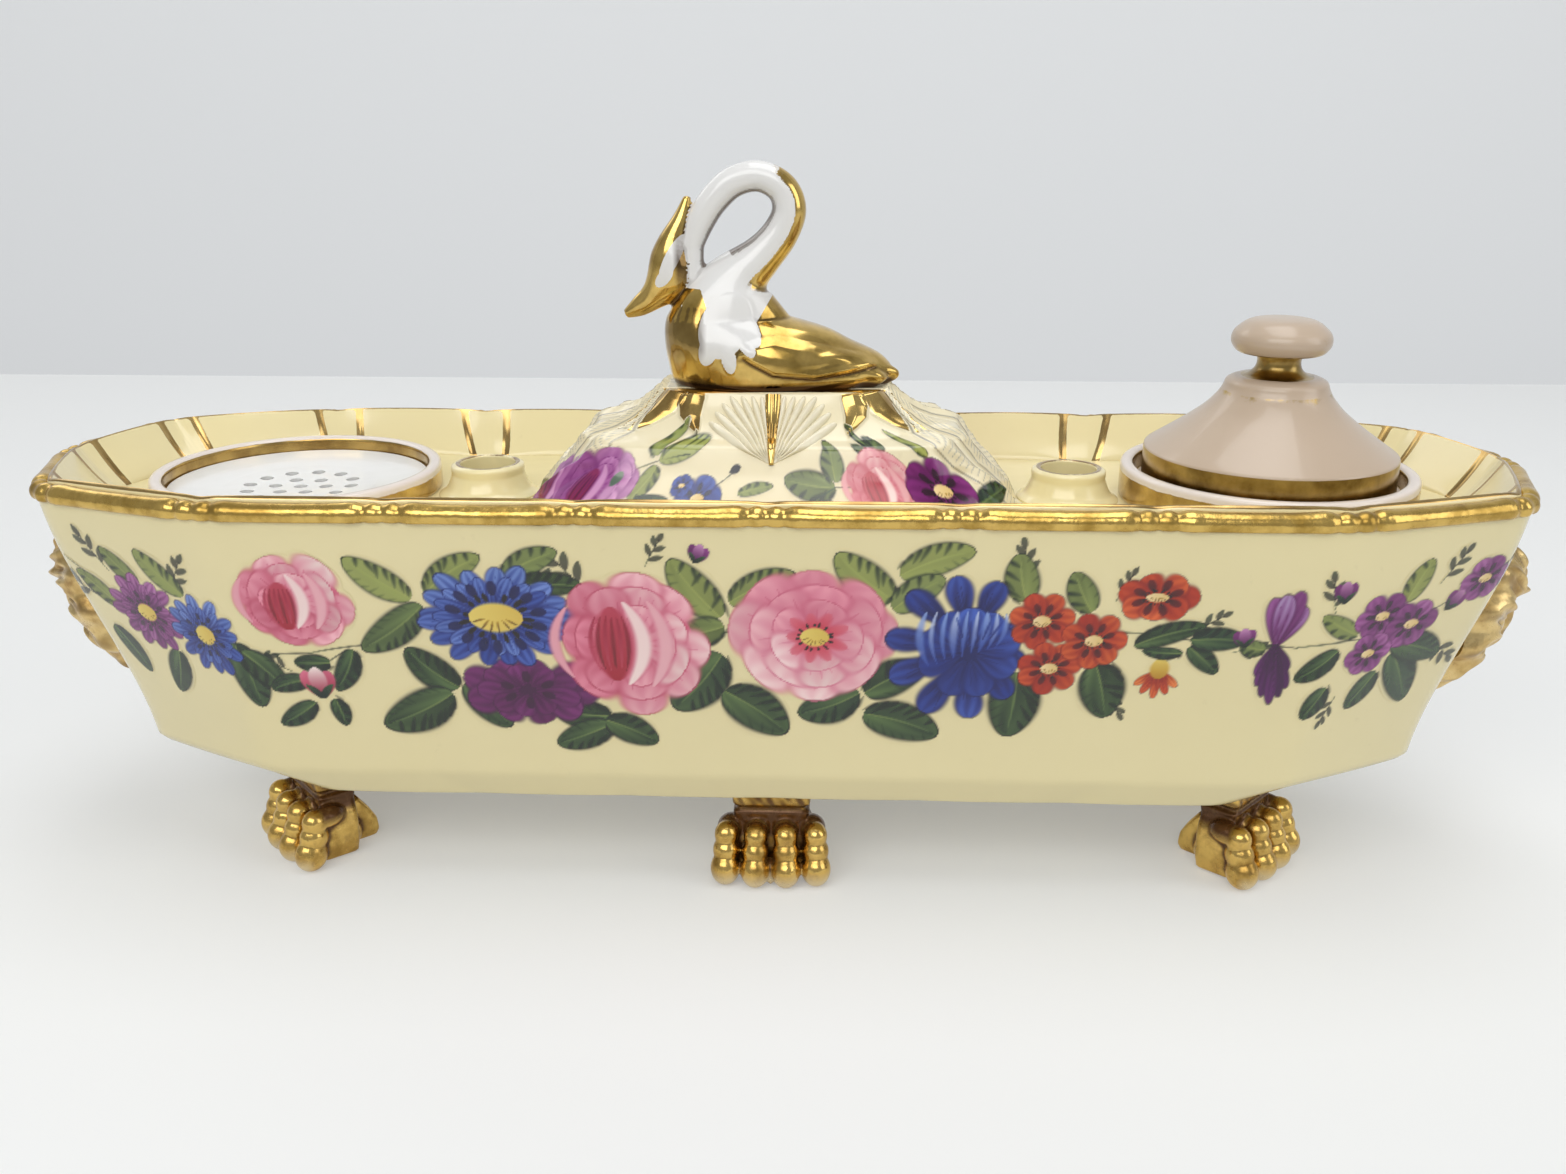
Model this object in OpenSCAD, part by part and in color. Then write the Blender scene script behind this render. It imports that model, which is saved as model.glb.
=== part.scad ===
// A porcelain desk inkstand: a long lobed tray on six paw feet, with an ink pot and its lid,
// a pounce pot, two quill holes and a domed middle cover that carries a swan.
// Millimetres. X runs along the stand towards the ink pot, Y to the back, Z up from the table.

/* [Plan of the tray] */
// Half the depth of the tray, to the middle line of the rim moulding
rim_half_depth = 40.1; // [38.5:0.1:44]
// From the last knot of a long side to the corner knot, along the stand
corner_run = 35.5; // [33:0.1:39]
// Half the distance between the two corner knots of one end
corner_half_depth = 28; // [26:0.1:31]
// From the last knot of a long side to the knot at the tip, along the stand
tip_run = 44.4; // [42:0.1:48]
// How far the rim bows out between two knots
lobe = 0.7; // [0:0.1:1.4]

/* [Wall of the tray] */
// Height of the flat underside of the tray over the table
base_z = 20.5; // [18:0.5:26]
// Height of the wall, from the underside to its flat top
wall_height = 59.7; // [52:0.5:66]
// Height of the bevel at the bottom of the wall
bevel_height = 6; // [4:0.5:9]
// How far the bevel draws in along a side
bevel_inset = 2.5; // [1:0.1:4]
// How far the bevel draws in at an end
bevel_end_inset = 12; // [8:0.5:15]
// How far a long side leans in, from the rim to the bevel
side_lean = 6.6; // [4:0.1:8]
// How far an end leans in, from the rim to the bevel
end_lean = 12.2; // [9:0.1:14]
// Thickness of the wall
wall_thickness = 3.2; // [2.6:0.1:4]
// Thickness of the floor
floor_thickness = 3.4; // [2.6:0.1:5]

/* [Rim, flange and deck] */
// Radius of the rim moulding along a lobe
rim_r = 2.05; // [1.8:0.05:2.3]
// Radius of the moulding at the two beads of a knot
bead_r = 2.2; // [2:0.05:2.5]
// Radius of the necks beside the beads
neck_r = 1.6; // [1.5:0.05:1.7]
// How far the flange's crest rises over the middle line of the moulding
crest_rise = 2.75; // [2.5:0.05:3.2]
// How deep the deck lies under the middle line of the moulding
deck_drop = 6.7; // [5:0.1:9]
// Width of the sloping flange between the moulding and the deck
flange_width = 7.6; // [6:0.1:9]
// Thickness of the deck and of the flange
deck_thickness = 3; // [2.4:0.1:3.6]
// Distance of a flute's groove from the knot, at the rim
groove_top = 4.9; // [4:0.1:6.5]
// Distance of a flute's groove from the knot, at the deck
groove_foot = 3.8; // [2.8:0.1:4.6]
// How far a flute swells
flute_swell = 1.1; // [0.4:0.1:1.6]

/* [Pots] */
// From the last knot of a long side in to the middle of a pot
pot_inset = 4.3; // [2:0.1:6]
// Radius of a pot's collar, which stands on the deck
collar_r = 29.3; // [28:0.1:29.8]
// Height of the pounce pot's collar
collar_height = 5.3; // [4:0.1:7]
// Height of the ink pot's collar
ink_collar_height = 7.2; // [5:0.1:8.5]
// Radius of a pot's round body under the deck
pot_r = 26.2; // [24:0.1:26.6]
// Depth of a pot under the deck
pot_depth = 37; // [28:0.5:44]
// Thickness of a pot's wall
pot_wall = 2.6; // [2:0.1:3.2]
// Width of the ledge inside a pot, on which the lid or the strainer rests
ledge = 3; // [2.4:0.1:3.6]
// Thickness of a pot's collar, outside the lid
collar_wall = 2.7; // [2.2:0.1:3.2]
// Depth of that ledge under the collar's top
ledge_drop = 4; // [3:0.1:4.6]
// Clearance between parts that lift apart
clearance = 0.4; // [0.3:0.05:0.6]

/* [Ink pot lid] */
// Play all round the lid inside the collar
lid_play = 1.7; // [0.6:0.1:2.2]
// Height of the lid's upright band
lid_band = 7.6; // [6:0.1:10]
// Height of the lid's flared cone, from the band to the collar of the knob
lid_cone = 13.4; // [10:0.1:17]
// Thickness of the lid
lid_thickness = 2.6; // [2:0.1:3.4]
// Radius of the lid's shoulder under the knob
lid_collar_r = 9.4; // [8:0.1:11]
// Radius of the knob
knob_r = 9.8; // [8.5:0.1:12]
// Radius of the knob's stem
stem_r = 4.5; // [3.5:0.1:6]
// Height of the knob over the collar
knob_height = 12; // [9:0.1:15]

/* [Pounce strainer] */
// Thickness of the perforated dish
strainer_thickness = 1.8; // [1.4:0.1:2.4]
// Depth of the dish in its middle
strainer_dish = 1.6; // [0.8:0.1:2]
// Radius of a hole
strainer_hole_r = 1.4; // [0.8:0.05:1.7]
// Distance between the rings of holes
strainer_pitch = 5.4; // [4.6:0.1:6.4]
// Number of rings of holes round the middle one
strainer_rings = 2; // [1:1:3]

/* [Quill holes] */
// From the end of the cover to the middle of the quill hole beside it, along the stand
quill_from_cover = 12; // [11.2:0.1:13]
// From the middle of a quill hole to the middle of the pot beside it, along the stand
quill_to_pot = 40.3; // [39.9:0.1:42]
// Radius of a quill hole
quill_r = 5.6; // [4:0.1:6.2]
// Radius of the lip round a quill hole
quill_lip_r = 7.6; // [7:0.1:8.4]
// Radius of the foot of the cone that carries a quill hole
quill_foot_r = 10.4; // [9.4:0.1:10.5]
// Height of that cone over the deck
quill_height = 6.5; // [4:0.1:9]

/* [Middle compartment and cover] */
// Half the length of the cover's foot
cover_half_length = 48.4; // [45:0.1:49.5]
// Half the depth of the cover's foot
cover_half_depth = 26.6; // [24:0.1:27.4]
// Height of the cover
cover_height = 23.6; // [20:0.1:30]
// Half the length of the cover's flat top
top_half_length = 21.5; // [20.5:0.1:24]
// Half the depth of the cover's flat top
top_half_depth = 12; // [11.5:0.1:14]
// Thickness of the cover
cover_thickness = 3; // [2.4:0.1:4]
// Half the length of the compartment's opening
well_half_length = 38; // [34:0.1:39]
// Half the depth of the compartment's opening
well_half_depth = 18.5; // [16:0.1:19.5]
// Depth of the compartment under the deck
well_depth = 36; // [26:0.5:42]
// Thickness of the compartment's walls
well_wall = 2.4; // [2:0.1:3]
// Height of the lip that keeps the cover in the opening
lip_height = 3.4; // [2:0.1:5]
// Where the foot of the shell lies, as a share of the cover's height
shell_foot = 0.48; // [0.4:0.01:0.54]
// Length of the shell's longest ribs
shell_rib = 14.6; // [12:0.1:16]
// How far the shell on the cover's face stands proud
shell_relief = 0.9; // [0.6:0.1:1.4]

/* [Swan] */
// Height of the swan's body, up to the root of its neck
swan_body_height = 13.4; // [12:0.1:15]
// Height of the whole swan
swan_height = 43.4; // [40:0.1:47]
// Half width of the swan's body
swan_half_width = 11; // [9:0.1:11.4]
// Radius of the swan's neck at the top of its loop
swan_neck_r = 3; // [2.6:0.05:3.4]

/* [Feet] */
// Width of a foot's square block
block_width = 15.5; // [13:0.1:17]
// Depth of a foot's square block
block_depth = 9; // [8:0.1:11]
// Height of a paw, from the table to its block
paw_height = 14; // [12.5:0.1:16]
// Width across a paw's toes
paw_width = 22.8; // [21:0.1:25]
// From the middle of the block forward to the toes
paw_reach = 8.6; // [7.5:0.1:9.5]
// From the middle of the block back to the heel
heel_reach = 10; // [6:0.1:11]
// Radius of a toe
toe_r = 3.3; // [3:0.05:3.7]
// From the rim of a long side in to the middle of a middle foot's block
middle_foot_inset = 17.5; // [15:0.1:20]
// From the rim of a long side in to the middle of a corner foot's block
corner_foot_side_inset = 23.7; // [22:0.1:26]
// From the last knot of a long side in to the middle of a corner foot
corner_foot_inset = 8; // [7:0.1:14]
// How far a corner foot turns outwards
corner_foot_turn = 48; // [35:1:54]

/* [End masks] */
// Height of a mask, along the wall
mask_height = 34; // [28:0.5:37]
// Width of a mask
mask_width = 29; // [24:0.5:32]
// Height of a mask's middle over the table
mask_z = 51.5; // [48:0.5:54]
// How far the muzzle stands out from the wall
mask_relief = 12.5; // [9:0.1:14]

/* [Hidden] */

cream = [0.93, 0.86, 0.66];
gilt = [0.72, 0.53, 0.17];
white = [0.94, 0.92, 0.90];
blush = [0.80, 0.70, 0.60];

// Knots of a long side, counted from its middle
side_knots = 3;
// The cover, the quill holes and the pots follow one another and set the tray's length
quill_x = cover_half_length + quill_from_cover;
pot_x = quill_x + quill_to_pot;
side_end = pot_x + pot_inset;
knot_pitch = side_end / side_knots;
// The moulding is flat where it lies on the wall and against the flange
seat = 1.25;
rim_z = base_z + wall_height + seat;
wall_top_z = base_z + wall_height;
bevel_z = base_z + bevel_height;
deck_z = rim_z - deck_drop;
deck_under_z = deck_z - deck_thickness;
// Places along a panel, as shares of the groove's distance from the knot
bead_share = 0.42;
neck_share = 0.66;

// The wall's outer face stands a little outside the moulding's middle line
wall_proud = 0.9;
// Free gap between the flange's edge and the wall's inner face
flange_gap = 0.3;

deck_hole_r = pot_r + clearance;
cover_top_z = deck_z + cover_height;

/* ---- Outlines: twenty knots, and points between them ---- */

function plan(pitch, side, run, corner, tip) =
    let (right = [[side_knots * pitch + run, -corner], [side_knots * pitch + tip, 0],
                  [side_knots * pitch + run, corner]])
    concat([for (k = [0 : side_knots]) [k * pitch, -side]],
        right,
        [for (k = [side_knots : -1 : -side_knots]) [k * pitch, side]],
        [for (k = [2 : -1 : 0]) [-right[k].x, right[k].y]],
        [for (k = [-side_knots : -1]) [k * pitch, -side]]);

rim_plan = plan(knot_pitch, rim_half_depth, corner_run, corner_half_depth, tip_run);
side_draw = side_lean * 0.62;
foot_plan = plan(knot_pitch - side_draw / side_knots, rim_half_depth - side_lean,
    corner_run + side_draw - end_lean, corner_half_depth - end_lean * 0.68,
    tip_run + side_draw - end_lean);
base_plan = plan(knot_pitch - (side_draw + bevel_end_inset) / side_knots,
    rim_half_depth - side_lean - bevel_inset,
    corner_run + side_draw - end_lean, corner_half_depth - end_lean * 0.68 - bevel_end_inset * 0.5,
    tip_run + side_draw - end_lean);
deck_inset = seat + flange_width;
deck_plan = plan(knot_pitch - deck_inset * 0.33 / side_knots, rim_half_depth - deck_inset,
    corner_run - deck_inset * 0.72, corner_half_depth - deck_inset * 0.72,
    tip_run - deck_inset * 0.72);

// Even places along every panel
function even_steps(count) = [for (i = [0 : count - 1]) i / count];

// Places that crowd round the knot, for the beads and the grooves; half a panel, then its mirror
function knot_steps(length, groove) =
    let (g = groove / length,
         half = [g * bead_share, g * neck_share, g, g + (0.5 - g) / 2])
    concat([0], half, [0.5], [for (i = [3 : -1 : 0]) 1 - half[i]]);

// Points of one outline, each bowed out from its panel's straight line
function outline(knots, bow, groove = 0, count = 4) =
    [for (i = [0 : len(knots) - 1])
        let (a = knots[i],
             b = knots[(i + 1) % len(knots)],
             length = norm(b - a),
             out = [b.y - a.y, a.x - b.x] / length)
        each [for (u = groove > 0 ? knot_steps(length, groove) : even_steps(count))
            a + (b - a) * u + out * bow * 4 * u * (1 - u)]];

// Outward direction at each point of an outline
function normals(ring) =
    let (n = len(ring))
    [for (i = [0 : n - 1])
        let (back = ring[(i + n - 1) % n],
             here = ring[i],
             next = ring[(i + 1) % n],
             e = (here - back) / norm(here - back) + (next - here) / norm(next - here))
        [e.y, -e.x] / norm(e)];

function grown(ring, by) =
    let (out = normals(ring))
    [for (i = [0 : len(ring) - 1]) ring[i] + out[i] * by];

function mixed(a, b, share) = [for (i = [0 : len(a) - 1]) a[i] + (b[i] - a[i]) * share];

function raised(ring, z) = [for (p = ring) [p.x, p.y, z]];

/* ---- Skins through rings of points ---- */

// Closed skin through rings that go round counter-clockwise as the rings climb, with a fan of
// faces over the first ring and over the last
module skin(rings) {
    n = len(rings[0]);
    m = len(rings);
    first_middle = m * n;
    last_middle = first_middle + 1;
    polyhedron(
        points = concat([for (ring = rings) each ring], [middle(rings[0]), middle(rings[m - 1])]),
        faces = concat(
            [for (i = [0 : n - 1]) [i, (i + 1) % n, first_middle]],
            [for (j = [0 : m - 2], i = [0 : n - 1])
                let (k = (i + 1) % n)
                each [[j * n + i, (j + 1) * n + i, (j + 1) * n + k],
                      [j * n + i, (j + 1) * n + k, j * n + k]]],
            [for (i = [0 : n - 1])
                [(m - 1) * n + (i + 1) % n, (m - 1) * n + i, last_middle]]),
        convexity = 6);
}

function middle(ring) = [for (p = ring) 1] * ring / len(ring);

// Endless skin: a small section carried all the way round a closed outline
module hoop(sections) {
    n = len(sections[0]);
    m = len(sections);
    polyhedron(
        points = [for (section = sections) each section],
        faces = [for (j = [0 : m - 1], i = [0 : n - 1])
            let (k = (i + 1) % n, l = (j + 1) % m)
            each [[j * n + i, l * n + i, l * n + k],
                  [j * n + i, l * n + k, j * n + k]]],
        convexity = 6);
}

/* ---- The tray ---- */

// The wall leans in slowly under the rim and above the bevel, and faster between
function lean(h) = 1 - (h + 3 * h * h - 2 * h * h * h) / 2;

// Outline of the wall's outer face at a share h of the way up from the bevel
function wall_ring(h) =
    grown(mixed(outline(rim_plan, lobe), outline(foot_plan, lobe / 2), lean(h)), wall_proud);

function wall_ring_z(h) = bevel_z + (wall_top_z - bevel_z) * h;

wall_levels = [0, 0.1, 0.25, 0.42, 0.6, 0.8, 1];

function outer_rings() = concat(
    [raised(grown(outline(base_plan, lobe / 2), wall_proud), base_z)],
    [for (h = wall_levels) raised(wall_ring(h), wall_ring_z(h))]);

function inner_rings() =
    let (under_flange = (deck_under_z - 4 - bevel_z) / (wall_top_z - bevel_z),
         floor_z = base_z + floor_thickness)
    [raised(grown(outline(rim_plan, lobe), -seat + flange_gap), wall_top_z),
     raised(grown(wall_ring(under_flange), -wall_thickness), wall_ring_z(under_flange)),
     raised(grown(wall_ring(0.4), -wall_thickness), wall_ring_z(0.4)),
     raised(grown(wall_ring(0.1), -wall_thickness), wall_ring_z(0.1)),
     raised(grown(wall_ring(0), -wall_thickness - bevel_inset), floor_z)];

module body_wall() {
    color(cream) skin(concat(outer_rings(), inner_rings()));
}

// One end of the tray's outer form, from corner knot to corner knot, to seat the masks on
module tray_end() {
    first = side_knots + 1;
    panel_points = 4;
    skin([for (ring = outer_rings())
        [for (i = [first * panel_points : (first + 2) * panel_points]) ring[i]]]);
}

deck_edge = outline(deck_plan, lobe, groove_foot);

// The deck is laid in three plates, with their seams between the cover and the quill holes
deck_seam_x = (cover_half_length + quill_x - quill_foot_r) / 2;

module deck_plate(from_x, to_x) {
    color(cream) difference() {
        translate([0, 0, deck_under_z]) linear_extrude(deck_thickness) intersection() {
            polygon(deck_edge);
            translate([from_x, -rim_half_depth]) square([to_x - from_x, 2 * rim_half_depth]);
        }
        for (side = [-1, 1]) {
            translate([side * pot_x, 0, deck_under_z - 1])
                cylinder(r = deck_hole_r, h = deck_thickness + 2, $fn = 96);
            translate([side * quill_x, 0, deck_under_z - 1])
                cylinder(r = quill_r, h = deck_thickness + 2, $fn = 48);
        }
        translate([0, 0, deck_under_z - 1]) linear_extrude(deck_thickness + 2) well_opening(0);
    }
}

module deck_left() { deck_plate(-side_end - tip_run, -deck_seam_x); }
module deck_middle() { deck_plate(-deck_seam_x, deck_seam_x); }
module deck_right() { deck_plate(deck_seam_x, side_end + tip_run); }

// Swell of the flange's upper face at each place along a panel: none in the groove, most in mid
// flute, a little on the narrow strip at the knot
flute_profile = [0.35, 0.3, 0.15, -0.25, 0.75, 1, 0.75, -0.25, 0.15, 0.3];

// Width of the flange's rounded crest
crest_width = 0.8;

module fluted_flange() {
    rim = outline(rim_plan, lobe, groove_top);
    outer = grown(rim, -seat);
    crest = grown(rim, -seat - crest_width);
    inner = deck_edge;
    top_z = rim_z + crest_rise;
    under_z = deck_under_z - 0.4;
    color(cream) hoop([for (i = [0 : len(rim) - 1])
        let (swell = flute_swell * flute_profile[i % len(flute_profile)],
             low = mixed([inner[i]], [crest[i]], 0.35)[0],
             high = mixed([inner[i]], [crest[i]], 0.72)[0],
             rise = top_z - deck_z)
        [[outer[i].x, outer[i].y, top_z - crest_width],
         [crest[i].x, crest[i].y, top_z],
         [high.x, high.y, deck_z + rise * 0.72 + swell],
         [low.x, low.y, deck_z + rise * 0.35 + swell * 0.9],
         [inner[i].x, inner[i].y, deck_z],
         [inner[i].x, inner[i].y, deck_under_z],
         [outer[i].x, outer[i].y, wall_top_z - 1.2]]]);
}

// Radius of the moulding at each place along a panel: neck, bead, neck, and the swollen lobe
bead_profile = [neck_r, bead_r, neck_r, rim_r * 1.1, rim_r, rim_r, rim_r,
    rim_r * 1.1, neck_r, bead_r];

// Section of the moulding, flat underneath and on the side of the flange
function moulding_section(r) =
    let (cut = asin(seat / r))
    concat([[-seat, -seat]],
        [for (i = [0 : 5]) let (a = -cut + (90 + 2 * cut) * i / 5) r * [cos(a), sin(a)]]);

module rim_moulding() {
    rim = outline(rim_plan, lobe, groove_top);
    out = normals(rim);
    color(gilt) hoop([for (i = [0 : len(rim) - 1])
        [for (s = moulding_section(bead_profile[i % len(bead_profile)]))
            [rim[i].x + out[i].x * s.x, rim[i].y + out[i].y * s.x, rim_z + s.y]]]);
}

/* ---- Masks: a lion's head in relief on each end ---- */

// A soft round swelling at (y, z), in shares of the mask's half size
function swelling(y, z, at_y, at_z, wide, tall) =
    exp(-pow((y - at_y) / wide, 2) - pow((z - at_z) / tall, 2));

// The same swelling on both sides of the face
function pair(y, z, at_y, at_z, wide, tall) =
    swelling(y, z, -at_y, at_z, wide, tall) + swelling(y, z, at_y, at_z, wide, tall);

// Relief of the head over its ground: a dome with nose, muzzle, brows, eyes, cheeks and chin
function head_relief(y, z) =
    0.53 + 0.34 * swelling(y, z, 0, 0.45, 0.6, 0.45) + 0.46 * swelling(y, z, 0, -0.22, 0.24, 0.26)
    + 0.2 * swelling(y, z, 0, 0.06, 0.13, 0.24) + 0.24 * pair(y, z, 0.2, -0.38, 0.19, 0.15)
    + 0.22 * swelling(y, z, 0, -0.62, 0.24, 0.13) + 0.14 * pair(y, z, 0.34, 0.28, 0.2, 0.1)
    - 0.16 * pair(y, z, 0.34, 0.1, 0.13, 0.08) - 0.1 * swelling(y, z, 0, -0.53, 0.3, 0.045)
    + 0.08 * pair(y, z, 0.46, -0.1, 0.18, 0.2);

// Mane locks ripple round the edge
mane_locks = 13;
mane_start = 0.62;
mask_rings = 8;
mask_sectors = 52;
// How deep the ground of the mask lies inside the wall, and how far its back reaches further in
mask_sink = 1.2;
mask_root = 5;

function mask_point(ring, sector) =
    let (a = 360 * sector / mask_sectors,
         share = ring / mask_rings,
         y = share * cos(a),
         z = share * sin(a),
         fall = sqrt(1 - pow(share, 4)),
         mane = max(0, share - mane_start) / (1 - mane_start),
         lock = 0.3 * mane * (1 - mane) * cos(mane_locks * a + 25 * mane),
         edge = 1 + 0.05 * mane * cos(mane_locks * a))
    [mask_ground_x(z * mask_height / 2) + mask_relief * (head_relief(y, z) * fall + lock),
     y * edge * mask_width / 2,
     mask_z + z * edge * mask_height / 2];

// The ground follows the lean of the wall at the tip of the tray
function mask_ground_x(z) =
    side_end + tip_run + wall_proud - mask_sink
    - end_lean * lean((mask_z + z - bevel_z) / (wall_top_z - bevel_z));

module lion_mask() {
    front = [for (ring = [mask_rings : -1 : 1])
        [for (s = [0 : mask_sectors - 1]) mask_point(ring, s)]];
    root = [for (p = front[0]) [p.x - mask_root, p.y, p.z]];
    difference() {
        skin(concat([root], front));
        tray_end();
    }
}

module mask_right() {
    color(gilt) lion_mask();
}

module mask_left() {
    color(gilt) rotate([0, 0, 180]) lion_mask();
}

/* ---- Paw feet ---- */

toe_count = 4;
toe_fan = 7;

// One foot, its toes towards -Y: a square block luted under the tray, an ankle, and four toes of
// two knuckles each
module paw_foot() {
    toe_span = paw_width - 2 * toe_r;
    translate([-block_width / 2, -block_depth / 2, paw_height])
        cube([block_width, block_depth, base_z - paw_height]);
    intersection() {
        union() {
            hull() {
                translate([-block_width * 0.42, -block_depth * 0.42, paw_height - 1])
                    cube([block_width * 0.84, block_depth * 0.84, 1]);
                translate([-toe_span / 2, -paw_reach * 0.6, 0])
                    cube([toe_span, paw_reach * 0.6 + block_depth * 0.4, toe_r * 2]);
                translate([-block_width * 0.3, -0.5, 0])
                    cube([block_width * 0.6, heel_reach + 0.5, toe_r * 1.5]);
            }
            for (i = [0 : toe_count - 1])
                let (side = i - (toe_count - 1) / 2,
                     x = toe_span * side / (toe_count - 1),
                     reach = paw_reach - toe_r * 0.12 * abs(side))
                translate([x, 0, 0]) rotate([0, 0, toe_fan * side]) {
                    translate([0, -reach, toe_r * 0.85]) sphere(r = toe_r, $fn = 24);
                    translate([0, -reach * 0.66, toe_r * 2.3]) sphere(r = toe_r * 0.9, $fn = 24);
                }
        }
        translate([-paw_width, -paw_width, 0]) cube([2 * paw_width, 2 * paw_width, paw_height]);
    }
}

corner_foot_x = side_end - corner_foot_inset;
corner_foot_y = rim_half_depth - corner_foot_side_inset;
middle_foot_y = rim_half_depth - middle_foot_inset;

module foot_at(x, y, turn) {
    color(gilt) translate([x, y, 0]) rotate([0, 0, turn]) paw_foot();
}

module foot_front_left() { foot_at(-corner_foot_x, -corner_foot_y, -corner_foot_turn); }
module foot_front_middle() { foot_at(0, -middle_foot_y, 0); }
module foot_front_right() { foot_at(corner_foot_x, -corner_foot_y, corner_foot_turn); }
module foot_back_left() { foot_at(-corner_foot_x, corner_foot_y, 180 + corner_foot_turn); }
module foot_back_middle() { foot_at(0, middle_foot_y, 180); }
module foot_back_right() { foot_at(corner_foot_x, corner_foot_y, 180 - corner_foot_turn); }

/* ---- Cones with the quill holes ---- */

// A squat cone with a hollow flank, a soft lip and a bore right through
module quill_cone(side) {
    soft = min(0.8, (quill_lip_r - quill_r) / 3);
    flare = quill_foot_r - quill_lip_r;
    color(cream) translate([side * quill_x, 0, deck_z]) rotate_extrude($fn = 64)
        polygon([[quill_r, 0], [quill_foot_r, 0], [quill_foot_r - flare * 0.35, quill_height * 0.12],
            [quill_foot_r - flare * 0.75, quill_height * 0.4],
            [quill_lip_r - soft * 0.3, quill_height - soft * 2.2],
            [quill_lip_r, quill_height - soft * 1.4], [quill_lip_r - soft * 0.3, quill_height - soft * 0.4],
            [quill_lip_r - soft, quill_height], [quill_r + soft, quill_height],
            [quill_r, quill_height - soft]]);
}

module quill_cone_left() { quill_cone(-1); }
module quill_cone_right() { quill_cone(1); }

/* ---- Middle compartment, cover and shells ---- */

well_corner = 6;

module rounded_plate(half_length, half_depth, corner) {
    square([2 * (half_length - corner), 2 * half_depth], center = true);
    square([2 * half_length, 2 * (half_depth - corner)], center = true);
    for (x = [-1, 1], y = [-1, 1])
        translate([x * (half_length - corner), y * (half_depth - corner)])
            circle(r = corner, $fn = 32);
}

module well_opening(grow) {
    rounded_plate(well_half_length + grow, well_half_depth + grow, well_corner + grow);
}

module compartment() {
    under = deck_under_z - well_depth + deck_thickness;
    color(white) difference() {
        translate([0, 0, under]) linear_extrude(deck_under_z - under) well_opening(well_wall);
        translate([0, 0, under + well_wall]) linear_extrude(deck_under_z - under) well_opening(0);
    }
}

// A squared oval of 40 points
cover_points = 40;
function squared_oval(half_length, half_depth, squareness) =
    [for (i = [0 : cover_points - 1])
        let (a = 360 * i / cover_points,
             c = cos(a),
             s = sin(a),
             r = pow(pow(abs(c), squareness) + pow(abs(s), squareness), -1 / squareness))
        [half_length * c * r, half_depth * s * r]];

// How far the cover has drawn in towards its flat top, at a share of its height
function draw_in(h) = h < 0.4 ? 0.28 * pow(h / 0.4, 1.4)
    : h < 0.64 ? 0.28 + (h - 0.4) / 0.24 * 0.14
    : 0.42 + 0.58 * sqrt((h - 0.64) / 0.36);

function cover_ring(h, in) =
    let (share = draw_in(h))
    raised(squared_oval(
        cover_half_length + (top_half_length - cover_half_length) * share - in,
        cover_half_depth + (top_half_depth - cover_half_depth) * share - in,
        4), deck_z + cover_height * h);

cover_levels = [0, 0.1, 0.2, 0.3, 0.4, 0.5, 0.6, 0.65, 0.7, 0.8, 0.9, 1];

module cover_form() {
    skin([for (h = cover_levels) cover_ring(h, 0)]);
}

lip_wall = 2.2;
web = 2.4;

// The cover is hollow, with a lip under its foot that drops into the compartment's opening
module cover() {
    hollow_top = 1 - cover_thickness / cover_height;
    hollow_foot = web / cover_height;
    color(cream) difference() {
        union() {
            cover_form();
            translate([0, 0, deck_z - lip_height]) linear_extrude(lip_height + web / 2)
                well_opening(-clearance);
        }
        translate([0, 0, deck_z - lip_height - 1]) linear_extrude(lip_height + web + 1.5)
            well_opening(-clearance - lip_wall);
        skin([for (i = [0 : 4])
            cover_ring(hollow_foot + (hollow_top - hollow_foot) * i / 4, cover_thickness + i)]);
    }
}

/* ---- Shell in relief on the long faces of the cover ---- */

// Ribs of one lobe of the shell, and the angle between them
shell_ribs = 6;
shell_fan_step = 10;
// Half width of a rib at its root, and the open groove between the tips of two ribs
rib_root = 0.4;
rib_groove = 0.24;

module shell_front() {
    color(cream) difference() {
        intersection() {
            cover_face(shell_relief);
            shell_fan();
        }
        cover_face(0);
    }
}

module shell_back() {
    rotate([0, 0, 180]) shell_front();
}

// The middle of the cover's front face, from just under the shell up to the top
module cover_face(proud) {
    skin([for (h = [for (level = cover_levels) if (level >= shell_foot - 0.1) level])
        let (ring = cover_ring(h, -proud))
        [for (i = [cover_points * 5 / 8 : cover_points * 7 / 8]) ring[i]]]);
}

// Two lobes of ribs that spread upwards from the foot of the bar between them
module shell_fan() {
    low = deck_z + cover_height * shell_foot;
    tall = cover_top_z - low - 0.6;
    translate([0, 0, low]) rotate([90, 0, 0]) linear_extrude(cover_half_depth + 5) {
        polygon([[-0.5, 0], [0.5, 0], [1.7, tall * 0.8], [1.5, tall], [-1.5, tall],
            [-1.7, tall * 0.8]]);
        for (side = [-1, 1], i = [0 : shell_ribs - 1])
            let (turn = 12 + i * shell_fan_step,
                 reach = min((tall - 0.8) / cos(turn), shell_rib),
                 half = reach * tan(shell_fan_step / 2) - rib_groove / 2)
            rotate(-side * turn)
                polygon([[-rib_root, 1.5], [rib_root, 1.5], [half, reach * 0.9],
                    [half * 0.55, reach], [-half * 0.55, reach], [-half, reach * 0.9]]);
    }
}

/* ---- Swan ---- */

swan_points = 16;

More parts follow.
